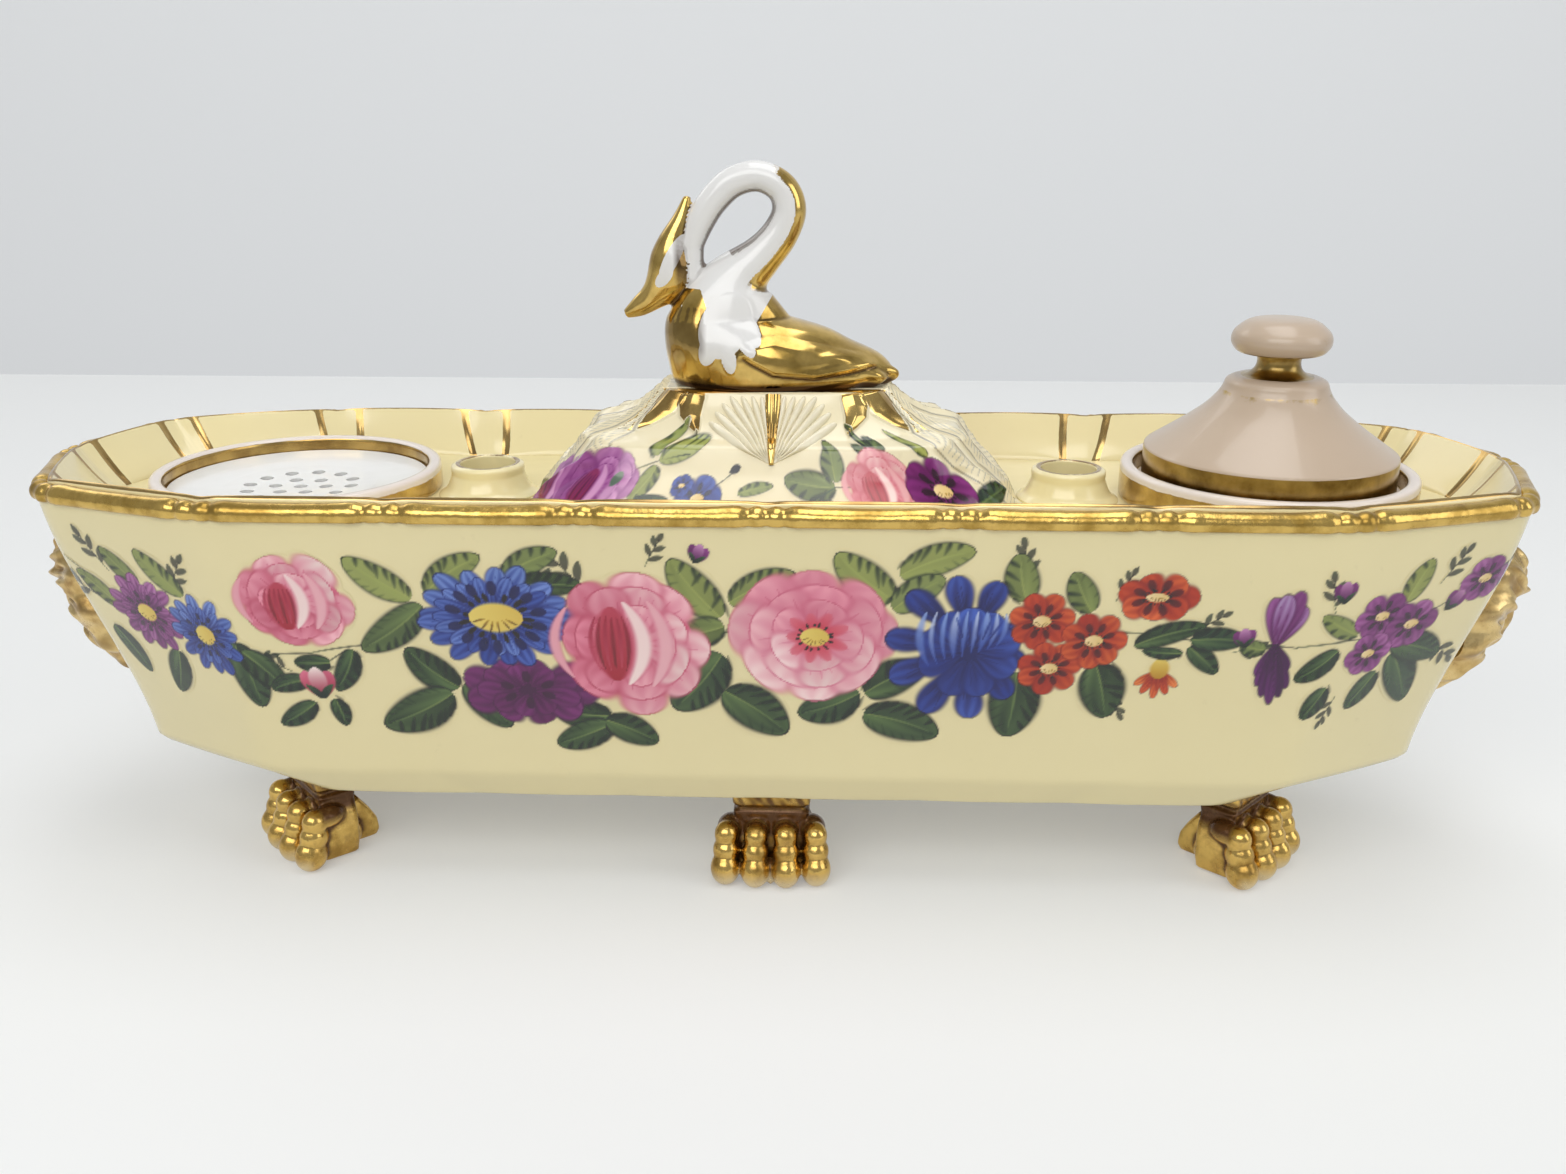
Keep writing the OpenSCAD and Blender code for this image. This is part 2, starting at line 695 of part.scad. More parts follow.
// Smooth line through rows of numbers, with extra rows between each two
function smooth(rows, extra) =
    [for (i = [0 : len(rows) - 2], k = [0 : extra])
        let (a = rows[max(i - 1, 0)], b = rows[i], c = rows[i + 1],
             d = rows[min(i + 2, len(rows) - 1)],
             u = k / (extra + 1))
        (2 * b + (c - a) * u + (2 * a - 5 * b + 4 * c - d) * u * u
            + (3 * b - a - 3 * c + d) * u * u * u) / 2,
     rows[len(rows) - 1]];

// An egg seen from above: front and back reach, half width
function egg(front, back, half_width) =
    [for (i = [0 : swan_points - 1])
        let (a = 360 * i / swan_points)
        [(front + back) / 2 + (back - front) / 2 * cos(a),
         half_width * (1 - 0.16 * cos(a)) * sin(a)]];

// Slices of the body from its foot up: height, front and back reach, half width, all as shares
swan_reach = 22.4;
swan_slices = smooth([
    [0, -0.91, 0.955, 0.95],
    [0.14, -0.95, 1.1, 0.98],
    [0.3, -0.97, 1.04, 1],
    [0.48, -0.99, 0.92, 1],
    [0.66, -1, 0.68, 0.95],
    [0.84, -1, 0.46, 0.85],
    [1, -0.98, 0.13, 0.74]], 1);

module swan_body() {
    color(gilt) skin([for (s = swan_slices)
        raised(egg(s[1] * swan_reach, s[2] * swan_reach, swan_half_width * s[3]),
            cover_top_z + swan_body_height * s[0])]);
}

// Ring square to a path in the plane y = 0: centre, heading, half sizes in and across the plane
function path_ring(x, z, heading, in_plane, across) =
    [for (i = [0 : swan_points - 1])
        let (a = 360 * i / swan_points)
        [x + in_plane * cos(a) * sin(heading), across * sin(a),
         z - in_plane * cos(a) * cos(heading)]];

neck_rise = swan_height - swan_body_height;

// Rings along a route over the body: each row holds x as a share of the body's reach, a height
// share, the heading, and the half sizes as multiples of the neck's radius
function route_rings(route) =
    [for (s = route)
        path_ring(s[0] * swan_reach, cover_top_z + swan_body_height + neck_rise * s[1], s[2],
            swan_neck_r * s[3], swan_neck_r * s[4])];

// The neck climbs from the breast, loops over and comes down behind the head
neck_route = smooth([
    [-0.44, 0.165, 88, 3, 2.3],
    [-0.31, 0.285, 62, 1.95, 1.75],
    [-0.12, 0.4, 47, 1.4, 1.42],
    [0.04, 0.54, 60, 1.22, 1.25],
    [0.12, 0.695, 88, 1.13, 1.15],
    [0.05, 0.83, 132, 1.04, 1.08],
    [-0.15, 0.9, 178, 1, 1.03],
    [-0.375, 0.86, 214, 1, 1],
    [-0.55, 0.74, 236, 0.98, 0.98],
    [-0.67, 0.6, 246, 0.95, 0.95],
    [-0.75, 0.46, 254, 0.86, 0.9]], 1);

// Its front part goes on down beside the head to the breast, which closes the loop
neck_fall = smooth([
    [-0.73, 0.5, 254, 0.8, 0.84],
    [-0.745, 0.36, 264, 0.84, 0.88],
    [-0.72, 0.22, 276, 0.92, 0.96],
    [-0.66, 0.1, 286, 1, 1]], 1);

module swan_neck_form() {
    root = swan_slices[len(swan_slices) - 1];
    skin(concat(
        [raised(egg(root[1] * swan_reach, root[2] * swan_reach, swan_half_width * root[3]),
            cover_top_z + swan_body_height)],
        route_rings(neck_route)));
    skin(route_rings(neck_fall));
}

module swan_neck() {
    color(white) swan_neck_form();
}

// The head hangs beside the neck, from the tip of the crest to the tip of the beak
head_route = smooth([
    [-0.79, 0.765, 262, 0.25, 0.25],
    [-0.83, 0.64, 256, 0.62, 0.72],
    [-0.89, 0.5, 252, 1.15, 1.2],
    [-0.88, 0.37, 246, 1.9, 1.5],
    [-0.93, 0.25, 232, 2.05, 1.4],
    [-1.1, 0.13, 216, 1.02, 0.88],
    [-1.23, 0.06, 208, 0.68, 0.66],
    [-1.35, 0.01, 206, 0.3, 0.36]], 1);

module swan_head() {
    color(gilt) difference() {
        skin(route_rings(head_route));
        swan_neck_form();
    }
}

/* ---- Pots, strainer and lid ---- */

recess_r = collar_r - collar_wall;
lid_r = recess_r - lid_play;
bore_r = recess_r - ledge;

// A pot with a collar that stands this high on the deck
module pot(rise) {
    collar_top_z = deck_z + rise;
    ledge_z = collar_top_z - ledge_drop;
    under = deck_z - pot_depth;
    lip = (collar_r - recess_r) / 2;
    rotate_extrude($fn = 96) difference() {
        union() {
            polygon([[0, under], [pot_r - 2, under], [pot_r, under + 2], [pot_r, deck_z],
                [collar_r - 0.5, deck_z], [collar_r, deck_z + 0.5],
                [collar_r, collar_top_z - lip], [recess_r, collar_top_z - lip], [0, ledge_z]]);
            translate([recess_r + lip, collar_top_z - lip]) intersection() {
                circle(r = lip, $fn = 32);
                square([lip, lip]);
            }
            translate([recess_r + lip, collar_top_z - lip]) intersection() {
                circle(r = lip, $fn = 32);
                translate([-lip, 0]) square([lip, lip]);
            }
        }
        polygon([[-1, under + pot_wall], [bore_r - 3, under + pot_wall],
            [bore_r, under + pot_wall + 3], [bore_r, ledge_z], [recess_r, ledge_z],
            [recess_r, collar_top_z - lip], [-1, collar_top_z - lip]]);
    }
}

module ink_pot() {
    color(white) translate([pot_x, 0, 0]) pot(ink_collar_height);
}

module pounce_pot() {
    color(white) translate([-pot_x, 0, 0]) pot(collar_height);
}

strainer_plug_r = bore_r - clearance;
strainer_edge_r = recess_r - clearance;
// The dish is this thick where it lies on the ledge, as a share of its thickness
strainer_edge_share = 0.6;

// A shallow dish that lies on the ledge, pierced in rings of holes; it lifts out to fill the pot
module pounce_strainer() {
    edge = strainer_thickness * strainer_edge_share;
    color(white) translate([-pot_x, 0, deck_z + collar_height - ledge_drop]) difference() {
        rotate_extrude($fn = 96) polygon(concat(
            [[0, -strainer_dish], [strainer_plug_r, -strainer_dish * 0.2], [strainer_plug_r, 0],
             [strainer_edge_r, 0], [strainer_edge_r, edge]],
            [for (u = [0.8 : -0.2 : 0])
                [strainer_edge_r * u, edge - strainer_dish * (1 - u * u)]]));
        for (ring = [0 : strainer_rings], i = [0 : max(1, 6 * ring) - 1])
            rotate([0, 0, 360 * i / max(1, 6 * ring)])
                translate([strainer_pitch * ring, 0, -strainer_dish - 1])
                    cylinder(r = strainer_hole_r, h = strainer_thickness + strainer_dish + 2,
                        $fn = 16);
    }
}

lid_foot_z = deck_z + ink_collar_height - ledge_drop;
lid_edge_z = lid_foot_z + lid_band;
lid_collar_z = lid_edge_z + lid_cone;

// The flared cone is drawn as a hollow sweep from the edge up to the collar
function cone_line(r0, r1, z0, z1, count) =
    [for (i = [0 : count]) let (u = i / count)
        [r0 + (r1 - r0) * (1 - pow(1 - u, 1.3)), z0 + (z1 - z0) * pow(u, 1.12)]];

module ink_lid() {
    lip = 0.8;
    top = cone_line(lid_r - lip, lid_collar_r, lid_edge_z, lid_collar_z, 10);
    under = cone_line(lid_r - lid_thickness, lid_collar_r - lid_thickness,
        lid_edge_z - lid_thickness, lid_collar_z - lid_thickness, 8);
    color(blush) translate([pot_x, 0, 0]) rotate_extrude($fn = 96) polygon(concat(
        [[lid_r - lid_thickness, lid_foot_z], [lid_r, lid_foot_z], [lid_r, lid_edge_z - lip]],
        top,
        [[lid_collar_r, lid_collar_z + 1.2], [0, lid_collar_z + 1.2],
         [0, lid_collar_z - lid_thickness]],
        [for (i = [len(under) - 1 : -1 : 0]) under[i]]));
}

module lid_knob() {
    z = lid_collar_z + 1.2;
    cap = knob_height * 0.55;
    neck = knob_height - cap;
    color(blush) translate([pot_x, 0, z]) rotate_extrude($fn = 64) polygon(concat(
        [[0, 0], [stem_r + 2, 0], [stem_r + 1.6, 0.9], [stem_r, neck * 0.4], [stem_r, neck * 0.7],
         [stem_r + 1.2, neck - 0.5]],
        [for (i = [0 : 10]) let (a = -60 + 15 * i)
            [max(0, (knob_r - 2.4) * (i < 4 ? 1 : cos((i - 4) * 15)) + 2.4 * cos(a) * (i < 9 ? 1 : 0)),
             neck + cap * 0.35 + (a < 0 ? cap * 0.35 : cap * 0.65) * sin(a)]]));
}

body_wall();
deck_left();
deck_middle();
deck_right();
fluted_flange();
rim_moulding();
mask_left();
mask_right();
foot_front_left();
foot_front_middle();
foot_front_right();
foot_back_left();
foot_back_middle();
foot_back_right();
quill_cone_left();
quill_cone_right();
compartment();
cover();
shell_front();
shell_back();
swan_body();
swan_neck();
swan_head();
ink_pot();
ink_lid();
lid_knob();
pounce_pot();
pounce_strainer();
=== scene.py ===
import math
import mathutils
import bpy
import numpy as np
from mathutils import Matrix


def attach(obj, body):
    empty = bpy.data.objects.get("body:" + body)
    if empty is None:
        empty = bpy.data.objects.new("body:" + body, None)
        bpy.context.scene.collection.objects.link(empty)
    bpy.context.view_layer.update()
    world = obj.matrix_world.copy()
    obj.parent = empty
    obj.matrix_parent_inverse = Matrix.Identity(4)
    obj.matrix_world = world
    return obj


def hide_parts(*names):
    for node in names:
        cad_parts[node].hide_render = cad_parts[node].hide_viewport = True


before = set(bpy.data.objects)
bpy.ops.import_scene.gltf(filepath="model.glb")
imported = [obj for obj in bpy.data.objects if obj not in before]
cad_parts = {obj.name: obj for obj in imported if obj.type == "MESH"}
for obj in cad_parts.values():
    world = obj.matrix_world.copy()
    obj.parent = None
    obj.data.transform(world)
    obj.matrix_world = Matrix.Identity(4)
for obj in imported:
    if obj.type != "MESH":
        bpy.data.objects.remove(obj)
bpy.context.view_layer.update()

# --------------------------------------------------------------
# Camera, table and light. The stand is seen from the front, a little from above, on a white
# table in front of a pale wall, in soft daylight from the front and from overhead.
scene = bpy.context.scene
scene.view_settings.view_transform = "Standard"

camera_data = bpy.data.cameras.new("camera")
camera_data.sensor_width = 36.0
camera_data.lens = 32.03
camera_data.clip_start = 0.01
camera = bpy.data.objects.new("camera", camera_data)
camera.location = (0.01224, -0.28142, 0.15262)
camera.rotation_euler = (math.radians(70.75), math.radians(0.03), math.radians(2.19))
scene.collection.objects.link(camera)
scene.camera = camera


def blank_material(name):
    material = bpy.data.materials.new(name)
    material.use_nodes = True
    tree = material.node_tree
    return material, tree.nodes, tree.links, tree.nodes["Principled BSDF"]


def sums(nodes, links, operation, *terms):
    """A sum of sockets and numbers."""
    node = nodes.new("ShaderNodeMath")
    node.operation = operation
    for socket, term in zip(node.inputs, terms):
        if isinstance(term, bpy.types.NodeSocket):
            links.new(term, socket)
        else:
            socket.default_value = term
    return node.outputs[0]


def pale_surface(name, lit_colour, seen_colour, seen_strength):
    """Matt white that takes shadows, and looks a little lighter to the camera and in gloss."""
    material, nodes, links, surface = blank_material(name)
    surface.inputs["Base Color"].default_value = (*lit_colour, 1)
    surface.inputs["Roughness"].default_value = 0.9
    surface.inputs["Specular IOR Level"].default_value = 0.1
    path = nodes.new("ShaderNodeLightPath")
    seen = path.outputs["Is Camera Ray"]
    for other in ("Is Glossy Ray", "Is Transmission Ray"):
        seen = sums(nodes, links, "MAXIMUM", seen, path.outputs[other])
    surface.inputs["Emission Color"].default_value = (*seen_colour, 1)
    links.new(sums(nodes, links, "MULTIPLY", seen, seen_strength),
              surface.inputs["Emission Strength"])
    return material


def stage_sheet(name, corners, material):
    mesh = bpy.data.meshes.new(name)
    mesh.from_pydata(corners, [], [tuple(range(len(corners)))])
    mesh.materials.append(material)
    sheet = bpy.data.objects.new(name, mesh)
    scene.collection.objects.link(sheet)


table_white = pale_surface("table_white", (0.64, 0.645, 0.64), (0.92, 0.93, 0.925), 0.28)
wall_white = pale_surface("wall_white", (0.53, 0.54, 0.545), (0.88, 0.89, 0.895), 0.36)
TABLE_REACH, TABLE_BACK, WALL_REACH, WALL_Y, WALL_TOP = 3, 0.52, 4, 0.77, 3
stage_sheet("table", [(-TABLE_REACH, -TABLE_REACH, 0), (TABLE_REACH, -TABLE_REACH, 0),
                      (TABLE_REACH, TABLE_BACK, 0), (-TABLE_REACH, TABLE_BACK, 0)], table_white)
stage_sheet("backdrop", [(-WALL_REACH, WALL_Y, -1), (WALL_REACH, WALL_Y, -1),
                         (WALL_REACH, WALL_Y, WALL_TOP), (-WALL_REACH, WALL_Y, WALL_TOP)],
            wall_white)

world = bpy.data.worlds.new("soft_room")
world.use_nodes = True
world.node_tree.nodes["Background"].inputs["Color"].default_value = (0.93, 0.96, 1.0, 1)
world.node_tree.nodes["Background"].inputs["Strength"].default_value = 0.42
scene.world = world


def soft_lamp(name, place, aim, size, watts, colour=(1, 1, 1)):
    lamp = bpy.data.lights.new(name, "AREA")
    lamp.shape = "RECTANGLE"
    lamp.size, lamp.size_y = size
    lamp.energy = watts
    lamp.color = colour
    holder = bpy.data.objects.new(name, lamp)
    holder.location = place
    way = np.array(aim) - np.array(place)
    holder.rotation_euler = (math.atan2(math.hypot(way[0], way[1]), -way[2]), 0,
                             math.atan2(way[1], way[0]) - math.pi / 2)
    scene.collection.objects.link(holder)


soft_lamp("window", (-0.25, -0.85, 0.75), (0, 0, 0.05), (1.1, 0.5), 5.2, (1.0, 0.99, 0.97))
soft_lamp("ceiling", (0.1, 0.0, 1.1), (0, 0, 0.05), (0.9, 0.6), 4.2)
soft_lamp("side", (0.95, -0.35, 0.5), (0, 0, 0.06), (0.5, 0.7), 1.8)
soft_lamp("back", (-0.5, 0.75, 0.7), (0, 0, 0.06), (0.9, 0.4), 1.6)

# --------------------------------------------------------------
# The tray: one long shell of cast porcelain with twenty corners, flared upwards and bevelled at
# its foot, glazed in cream. Sizes in millimetres, as everywhere in this file.
KNOT_PITCH, SIDE_KNOTS = 35.0, 3
SIDE_END = KNOT_PITCH * SIDE_KNOTS
RIM_HALF_DEPTH, CORNER_HALF_DEPTH = 40.1, 28.0
CORNER_RUN, TIP_RUN = 35.5, 44.4
LOBE = 0.7
BASE_Z, BEVEL_Z, WALL_TOP_Z = 20.5, 26.5, 80.2
BEVEL_INSET, BEVEL_END_INSET = 2.5, 12.0
SIDE_LEAN, END_LEAN = 6.6, 12.2
SIDE_DRAW, CORNER_LEAN = SIDE_LEAN * 0.62, END_LEAN * 0.68
END_DRAW = SIDE_DRAW - END_LEAN
WALL_PROUD, WALL_THICKNESS, FLOOR_THICKNESS = 0.9, 3.2, 3.4
PER_PANEL = 24


def tray_knots(pitch, side, run, corner, tip):
    """The twenty corners, round from the middle of the front, towards the ink pot first."""
    last = SIDE_KNOTS * pitch
    end = [(last + run, -corner), (last + tip, 0), (last + run, corner)]
    front = [(k * pitch, -side) for k in range(SIDE_KNOTS + 1)]
    back = [(k * pitch, side) for k in range(SIDE_KNOTS, -SIDE_KNOTS - 1, -1)]
    return np.array(front + end + back + [(-x, y) for x, y in reversed(end)]
                    + [(k * pitch, -side) for k in range(-SIDE_KNOTS, 0)])


def outline(knots, bow):
    """Points round the tray, bowed out between the knots and eased over them."""
    share = np.arange(PER_PANEL)[:, None] / PER_PANEL
    panels = []
    for a, b in zip(knots, np.roll(knots, -1, axis=0)):
        out = np.array([b[1] - a[1], a[0] - b[0]]) / np.linalg.norm(b - a)
        panels.append(a + (b - a) * share + out * bow * 4 * share * (1 - share))
    ring = np.concatenate(panels)
    for _ in range(2):
        ring = (np.roll(ring, 1, axis=0) + 2 * ring + np.roll(ring, -1, axis=0)) / 4
    return ring


def grown(ring, by):
    along = np.roll(ring, -1, axis=0) - np.roll(ring, 1, axis=0)
    out = np.stack([along[:, 1], -along[:, 0]], axis=1)
    return ring + by * out / np.linalg.norm(out, axis=1)[:, None]


def at_height(ring, z):
    return np.column_stack([ring, np.full(len(ring), z)])


rim_knots = tray_knots(KNOT_PITCH, RIM_HALF_DEPTH, CORNER_RUN, CORNER_HALF_DEPTH, TIP_RUN)
foot_knots = tray_knots(
    KNOT_PITCH - SIDE_DRAW / SIDE_KNOTS, RIM_HALF_DEPTH - SIDE_LEAN, CORNER_RUN + END_DRAW,
    CORNER_HALF_DEPTH - CORNER_LEAN, TIP_RUN + END_DRAW)
base_knots = tray_knots(
    KNOT_PITCH - (SIDE_DRAW + BEVEL_END_INSET) / SIDE_KNOTS,
    RIM_HALF_DEPTH - SIDE_LEAN - BEVEL_INSET, CORNER_RUN + END_DRAW,
    CORNER_HALF_DEPTH - CORNER_LEAN - BEVEL_END_INSET / 2, TIP_RUN + END_DRAW)
rim_line, foot_line = outline(rim_knots, LOBE), outline(foot_knots, LOBE / 2)
base_ring = grown(outline(base_knots, LOBE / 2), WALL_PROUD)


def lean(h):
    """How much of the whole lean is left at a share h of the wall's height."""
    return 1 - (h + 3 * h * h - 2 * h ** 3) / 2


def wall_ring(h, by=0.0):
    share = lean(h)
    return at_height(grown(rim_line + (foot_line - rim_line) * share, WALL_PROUD + by),
                     BEVEL_Z + (WALL_TOP_Z - BEVEL_Z) * h)


def loft(rings, caps=True, around=True):
    """Vertices and faces of a skin through rings, or through open rows where it isn't around."""
    rings = np.array(rings)
    rows, count = rings.shape[:2]
    faces = []
    for j in range(rows - 1):
        for i in range(count if around else count - 1):
            k = (i + 1) % count
            faces.append((j * count + i, j * count + k, (j + 1) * count + k, (j + 1) * count + i))
    if caps:
        faces.append(tuple(range(count - 1, -1, -1)))
        faces.append(tuple(range((rows - 1) * count, rows * count)))
    return rings.reshape(-1, 3), faces


def piece(name, shape, material, body, nodes=(), crease=38):
    """Make one piece of the stand from its points in millimetres, and fix it to its body."""
    points, faces = shape
    mesh = bpy.data.meshes.new(name)
    mesh.from_pydata([tuple(p) for p in np.asarray(points) * 0.001], [], faces)
    mesh.materials.append(material)
    mesh.shade_smooth()
    mesh.set_sharp_from_angle(angle=math.radians(crease))
    mesh.update()
    thing = bpy.data.objects.new(name, mesh)
    scene.collection.objects.link(thing)
    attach(thing, body)
    if nodes:
        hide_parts(*nodes)
    return thing


def clouds(nodes, links, scale, detail=3.0, rough=0.55):
    """Soft noise in the stand's own space, scale in cells per metre."""
    place = nodes.new("ShaderNodeTexCoord")
    noise = nodes.new("ShaderNodeTexNoise")
    noise.inputs["Scale"].default_value = scale
    noise.inputs["Detail"].default_value = detail
    noise.inputs["Roughness"].default_value = rough
    links.new(place.outputs["Object"], noise.inputs["Vector"])
    return noise.outputs["Fac"]


def ramp(nodes, links, source, stops):
    """Colours along a range: stops are (place, colour)."""
    node = nodes.new("ShaderNodeValToRGB")
    for i, (place, colour) in enumerate(stops):
        stop = node.color_ramp.elements[i] if i < 2 else node.color_ramp.elements.new(place)
        stop.position = place
        stop.color = (*colour, 1)
    links.new(source, node.inputs["Fac"])
    return node.outputs["Color"]


def mix(nodes, links, share, a, b, mode="MIX"):
    """Blend of two colours, sockets or values, by a share."""
    node = nodes.new("ShaderNodeMix")
    node.data_type = "RGBA"
    node.blend_type = mode
    for socket, value in ((node.inputs[0], share), (node.inputs[6], a), (node.inputs[7], b)):
        if isinstance(value, bpy.types.NodeSocket):
            links.new(value, socket)
        else:
            socket.default_value = value if socket == node.inputs[0] else (*value, 1)
    return node.outputs[2]


def ripple(nodes, links, source, height, target):
    """Bump in metres of height on a shader."""
    bump = nodes.new("ShaderNodeBump")
    bump.inputs["Strength"].default_value = 1.0
    bump.inputs["Distance"].default_value = height
    links.new(source, bump.inputs["Height"])
    links.new(bump.outputs["Normal"], target.inputs["Normal"])


def glaze(name, colour, shade, roughness=0.16, enamel=False):
    """Porcelain under a clear glaze, cloudy in tone, with the soft unevenness of a hand dip."""
    material, nodes, links, surface = blank_material(name)
    body = mix(nodes, links, clouds(nodes, links, 14, 4), shade, colour)
    specks = ramp(nodes, links, clouds(nodes, links, 420, 2),
                  [(0.0, (0.80, 0.78, 0.74)), (0.30, (1, 1, 1))])
    tone = mix(nodes, links, 0.55, body, specks, "MULTIPLY")
    if enamel:
        paint = nodes.new("ShaderNodeVertexColor")
        paint.layer_name = "enamel"
        tone = mix(nodes, links, paint.outputs["Alpha"], tone, paint.outputs["Color"])
    links.new(tone, surface.inputs["Base Color"])
    surface.inputs["Roughness"].default_value = roughness
    surface.inputs["Coat Weight"].default_value = 0.35
    surface.inputs["Coat Roughness"].default_value = 0.06
    ripple(nodes, links, clouds(nodes, links, 90, 2), 0.00016, surface)
    return material


CREAM, CREAM_SHADE = (0.89, 0.785, 0.45), (0.82, 0.71, 0.39)
cream_glaze = glaze("cream_glaze", CREAM, CREAM_SHADE)
bottom = [at_height(grown(base_ring, -0.5), BASE_Z), at_height(base_ring, BASE_Z + 0.15)]
bevel = [at_height(base_ring + (wall_ring(0)[:, :2] - base_ring) * t,
                   BASE_Z + (BEVEL_Z - BASE_Z) * t) for t in (0.06, 0.2, 0.5, 0.8, 0.93)]
outside = [wall_ring(h) for h in (0.012, 0.03, 0.07, *np.linspace(0.12, 1, 16))]
inside = [wall_ring(h, -WALL_THICKNESS) for h in np.linspace(1, 0.04, 9)]
floor = at_height(grown(base_ring, -WALL_THICKNESS), BASE_Z + FLOOR_THICKNESS)
piece("tray", loft(bottom + bevel + outside + inside + [floor]), cream_glaze, "stand",
      ["body_wall"])

# --------------------------------------------------------------
# Enamel garlands: flowers painted over the glaze with a soft brush and fired on, all along the
# front and the back of the tray. Each stroke is laid down in turn on a fine sheet that follows
# the wall, and the sheet keeps only what is painted.
class PaintedSheet:
    """A fine grid of colour and cover, u along the wall and z up."""

    def __init__(self, left, right, low, high, step):
        self.u, self.z = np.arange(left, right, step), np.arange(low, high, step)
        self.layers = np.zeros((len(self.z), len(self.u), 4))

    def stroke(self, u, z, turn, length, width, root, tip, belly=0.55, bend=0.0, soft=0.3,
               cover=1.0, streak=0.0, blunt=0.6, side=0):
        """One brush stroke from (u, z) along turn, swelling to its width; colours root to tip."""
        reach = length + width
        cols = np.flatnonzero(np.abs(self.u - u) < reach)
        rows = np.flatnonzero(np.abs(self.z - z) < reach)
        if not len(cols) or not len(rows):
            return
        du, dz = self.u[cols][None, :] - u, self.z[rows][:, None] - z
        along = (du * math.cos(turn) + dz * math.sin(turn)) / length
        share = np.clip(along, 0, 1)
        across = dz * math.cos(turn) - du * math.sin(turn) - bend * length * share * (1 - share)
        swell = np.sin(math.pi * share ** (math.log(0.5) / math.log(belly))) ** blunt
        place = across / np.maximum(width / 2 * swell, 0.02)
        edge = np.clip((1 - np.abs(place)) / soft, 0, 1) * (np.abs(along - 0.5) < 0.5)
        if side:
            edge = edge * (across * side > 0)
        lay = (cover * edge * edge * (3 - 2 * edge))[..., None]
        shade = share + streak * np.sin(place * 9 + 3 * turn + 5 * share)
        shade = np.clip(shade, 0, 1)[..., None]
        colour = np.array(root) + (np.array(tip) - np.array(root)) * shade
        area = np.ix_(rows, cols)
        old = self.layers[area]
        new = np.concatenate([colour, np.ones_like(shade)], axis=2)
        self.layers[area] = old * (1 - lay) + new * lay


LEAF_DARK, LEAF_MID, LEAF_PALE = (0.09, 0.15, 0.13), (0.30, 0.42, 0.28), (0.74, 0.75, 0.44)
BLUE_DARK, BLUE_MID, BLUE_PALE = (0.10, 0.12, 0.36), (0.25, 0.35, 0.67), (0.66, 0.75, 0.92)
MAUVE_DARK, MAUVE_MID, MAUVE_PALE = (0.31, 0.07, 0.30), (0.55, 0.25, 0.52), (0.83, 0.62, 0.78)
PINK_DARK, PINK_MID, PINK_PALE = (0.60, 0.13, 0.24), (0.87, 0.48, 0.58), (0.99, 0.90, 0.88)
RED_DARK, RED_MID, RED_PALE = (0.44, 0.09, 0.05), (0.76, 0.27, 0.12), (0.95, 0.60, 0.34)
YELLOW, OCHRE, UMBER = (0.93, 0.84, 0.48), (0.76, 0.58, 0.20), (0.16, 0.09, 0.08)


def tinted(colour, chance, spread=0.03):
    return tuple(np.clip(np.array(colour) + chance.normal(0, spread), 0, 1))


def mixed(colour, other, share):
    return tuple(np.array(colour) * (1 - share) + np.array(other) * share)


def spot(u, z, r, turn, squash=1.0):
    """The point at a distance r from (u, z) along turn, its height squashed."""
    return u + r * math.cos(turn), z + r * math.sin(turn) * squash


def heading(a, b):
    return math.atan2(b[1] - a[1], b[0] - a[0])


def paint_leaf(sheet, u, z, turn, length, width, chance, pale=0.3, bend=0.12, shadow=1):
    """A leaf with one half in shade, dark hatching from that edge to the rib, and a pale rib."""
    body = tinted(mixed(mixed(LEAF_DARK, LEAF_MID, 0.35), LEAF_PALE, pale), chance)
    light = mixed(mixed(LEAF_MID, LEAF_PALE, 0.2), LEAF_PALE, pale)
    ink = mixed(LEAF_DARK, (0.03, 0.06, 0.05), 0.4)
    belly, blunt = 0.44, 0.50
    shape = dict(belly=belly, bend=bend, blunt=blunt)
    sheet.stroke(u, z, turn, length * 1.02, width * 1.08, ink, mixed(ink, body, 0.4), soft=0.3,
                 **shape)
    sheet.stroke(u, z, turn, length, width * 0.96, body, mixed(body, light, 0.5), soft=0.25,
                 streak=0.12, **shape)
    sheet.stroke(u, z, turn, length * 0.97, width * 0.88, light, body, soft=0.45, side=-shadow,
                 streak=0.18, cover=0.9, **shape)
    hatches = max(4, int(length / 1.9))
    for k in range(hatches):
        share = 0.12 + 0.76 * k / (hatches - 1)
        half = width / 2 * math.sin(math.pi * share ** (math.log(0.5) / math.log(belly))) ** blunt
        sag = bend * length * share * (1 - share)
        for side, reach in ((shadow, 0.85), (-shadow, 0.45)):
            off = sag + side * half * 0.86
            at = (u + length * share * math.cos(turn) - off * math.sin(turn),
                  z + length * share * math.sin(turn) + off * math.cos(turn))
            sheet.stroke(*at, turn - side * (2.35 + chance.normal(0, 0.2)),
                         (half * reach + 0.5) * chance.uniform(0.7, 1.15),
                         0.9 + 0.7 * (side == shadow), ink, mixed(ink, body, 0.7), belly=0.3,
                         cover=0.75 if side == shadow else 0.3, soft=1.0)
    sheet.stroke(u, z, turn, length * 0.90, 0.6, mixed(light, LEAF_PALE, 0.5), light, bend=bend,
                 blunt=0.3, cover=0.7, soft=0.7)


def paint_leaf_to(sheet, root, tip, width, chance, pale, bend, shadow):
    paint_leaf(sheet, *root, heading(root, tip), math.dist(root, tip),
               width * (1.3 if pale < 0.2 else 1.15), chance, pale, bend, shadow)


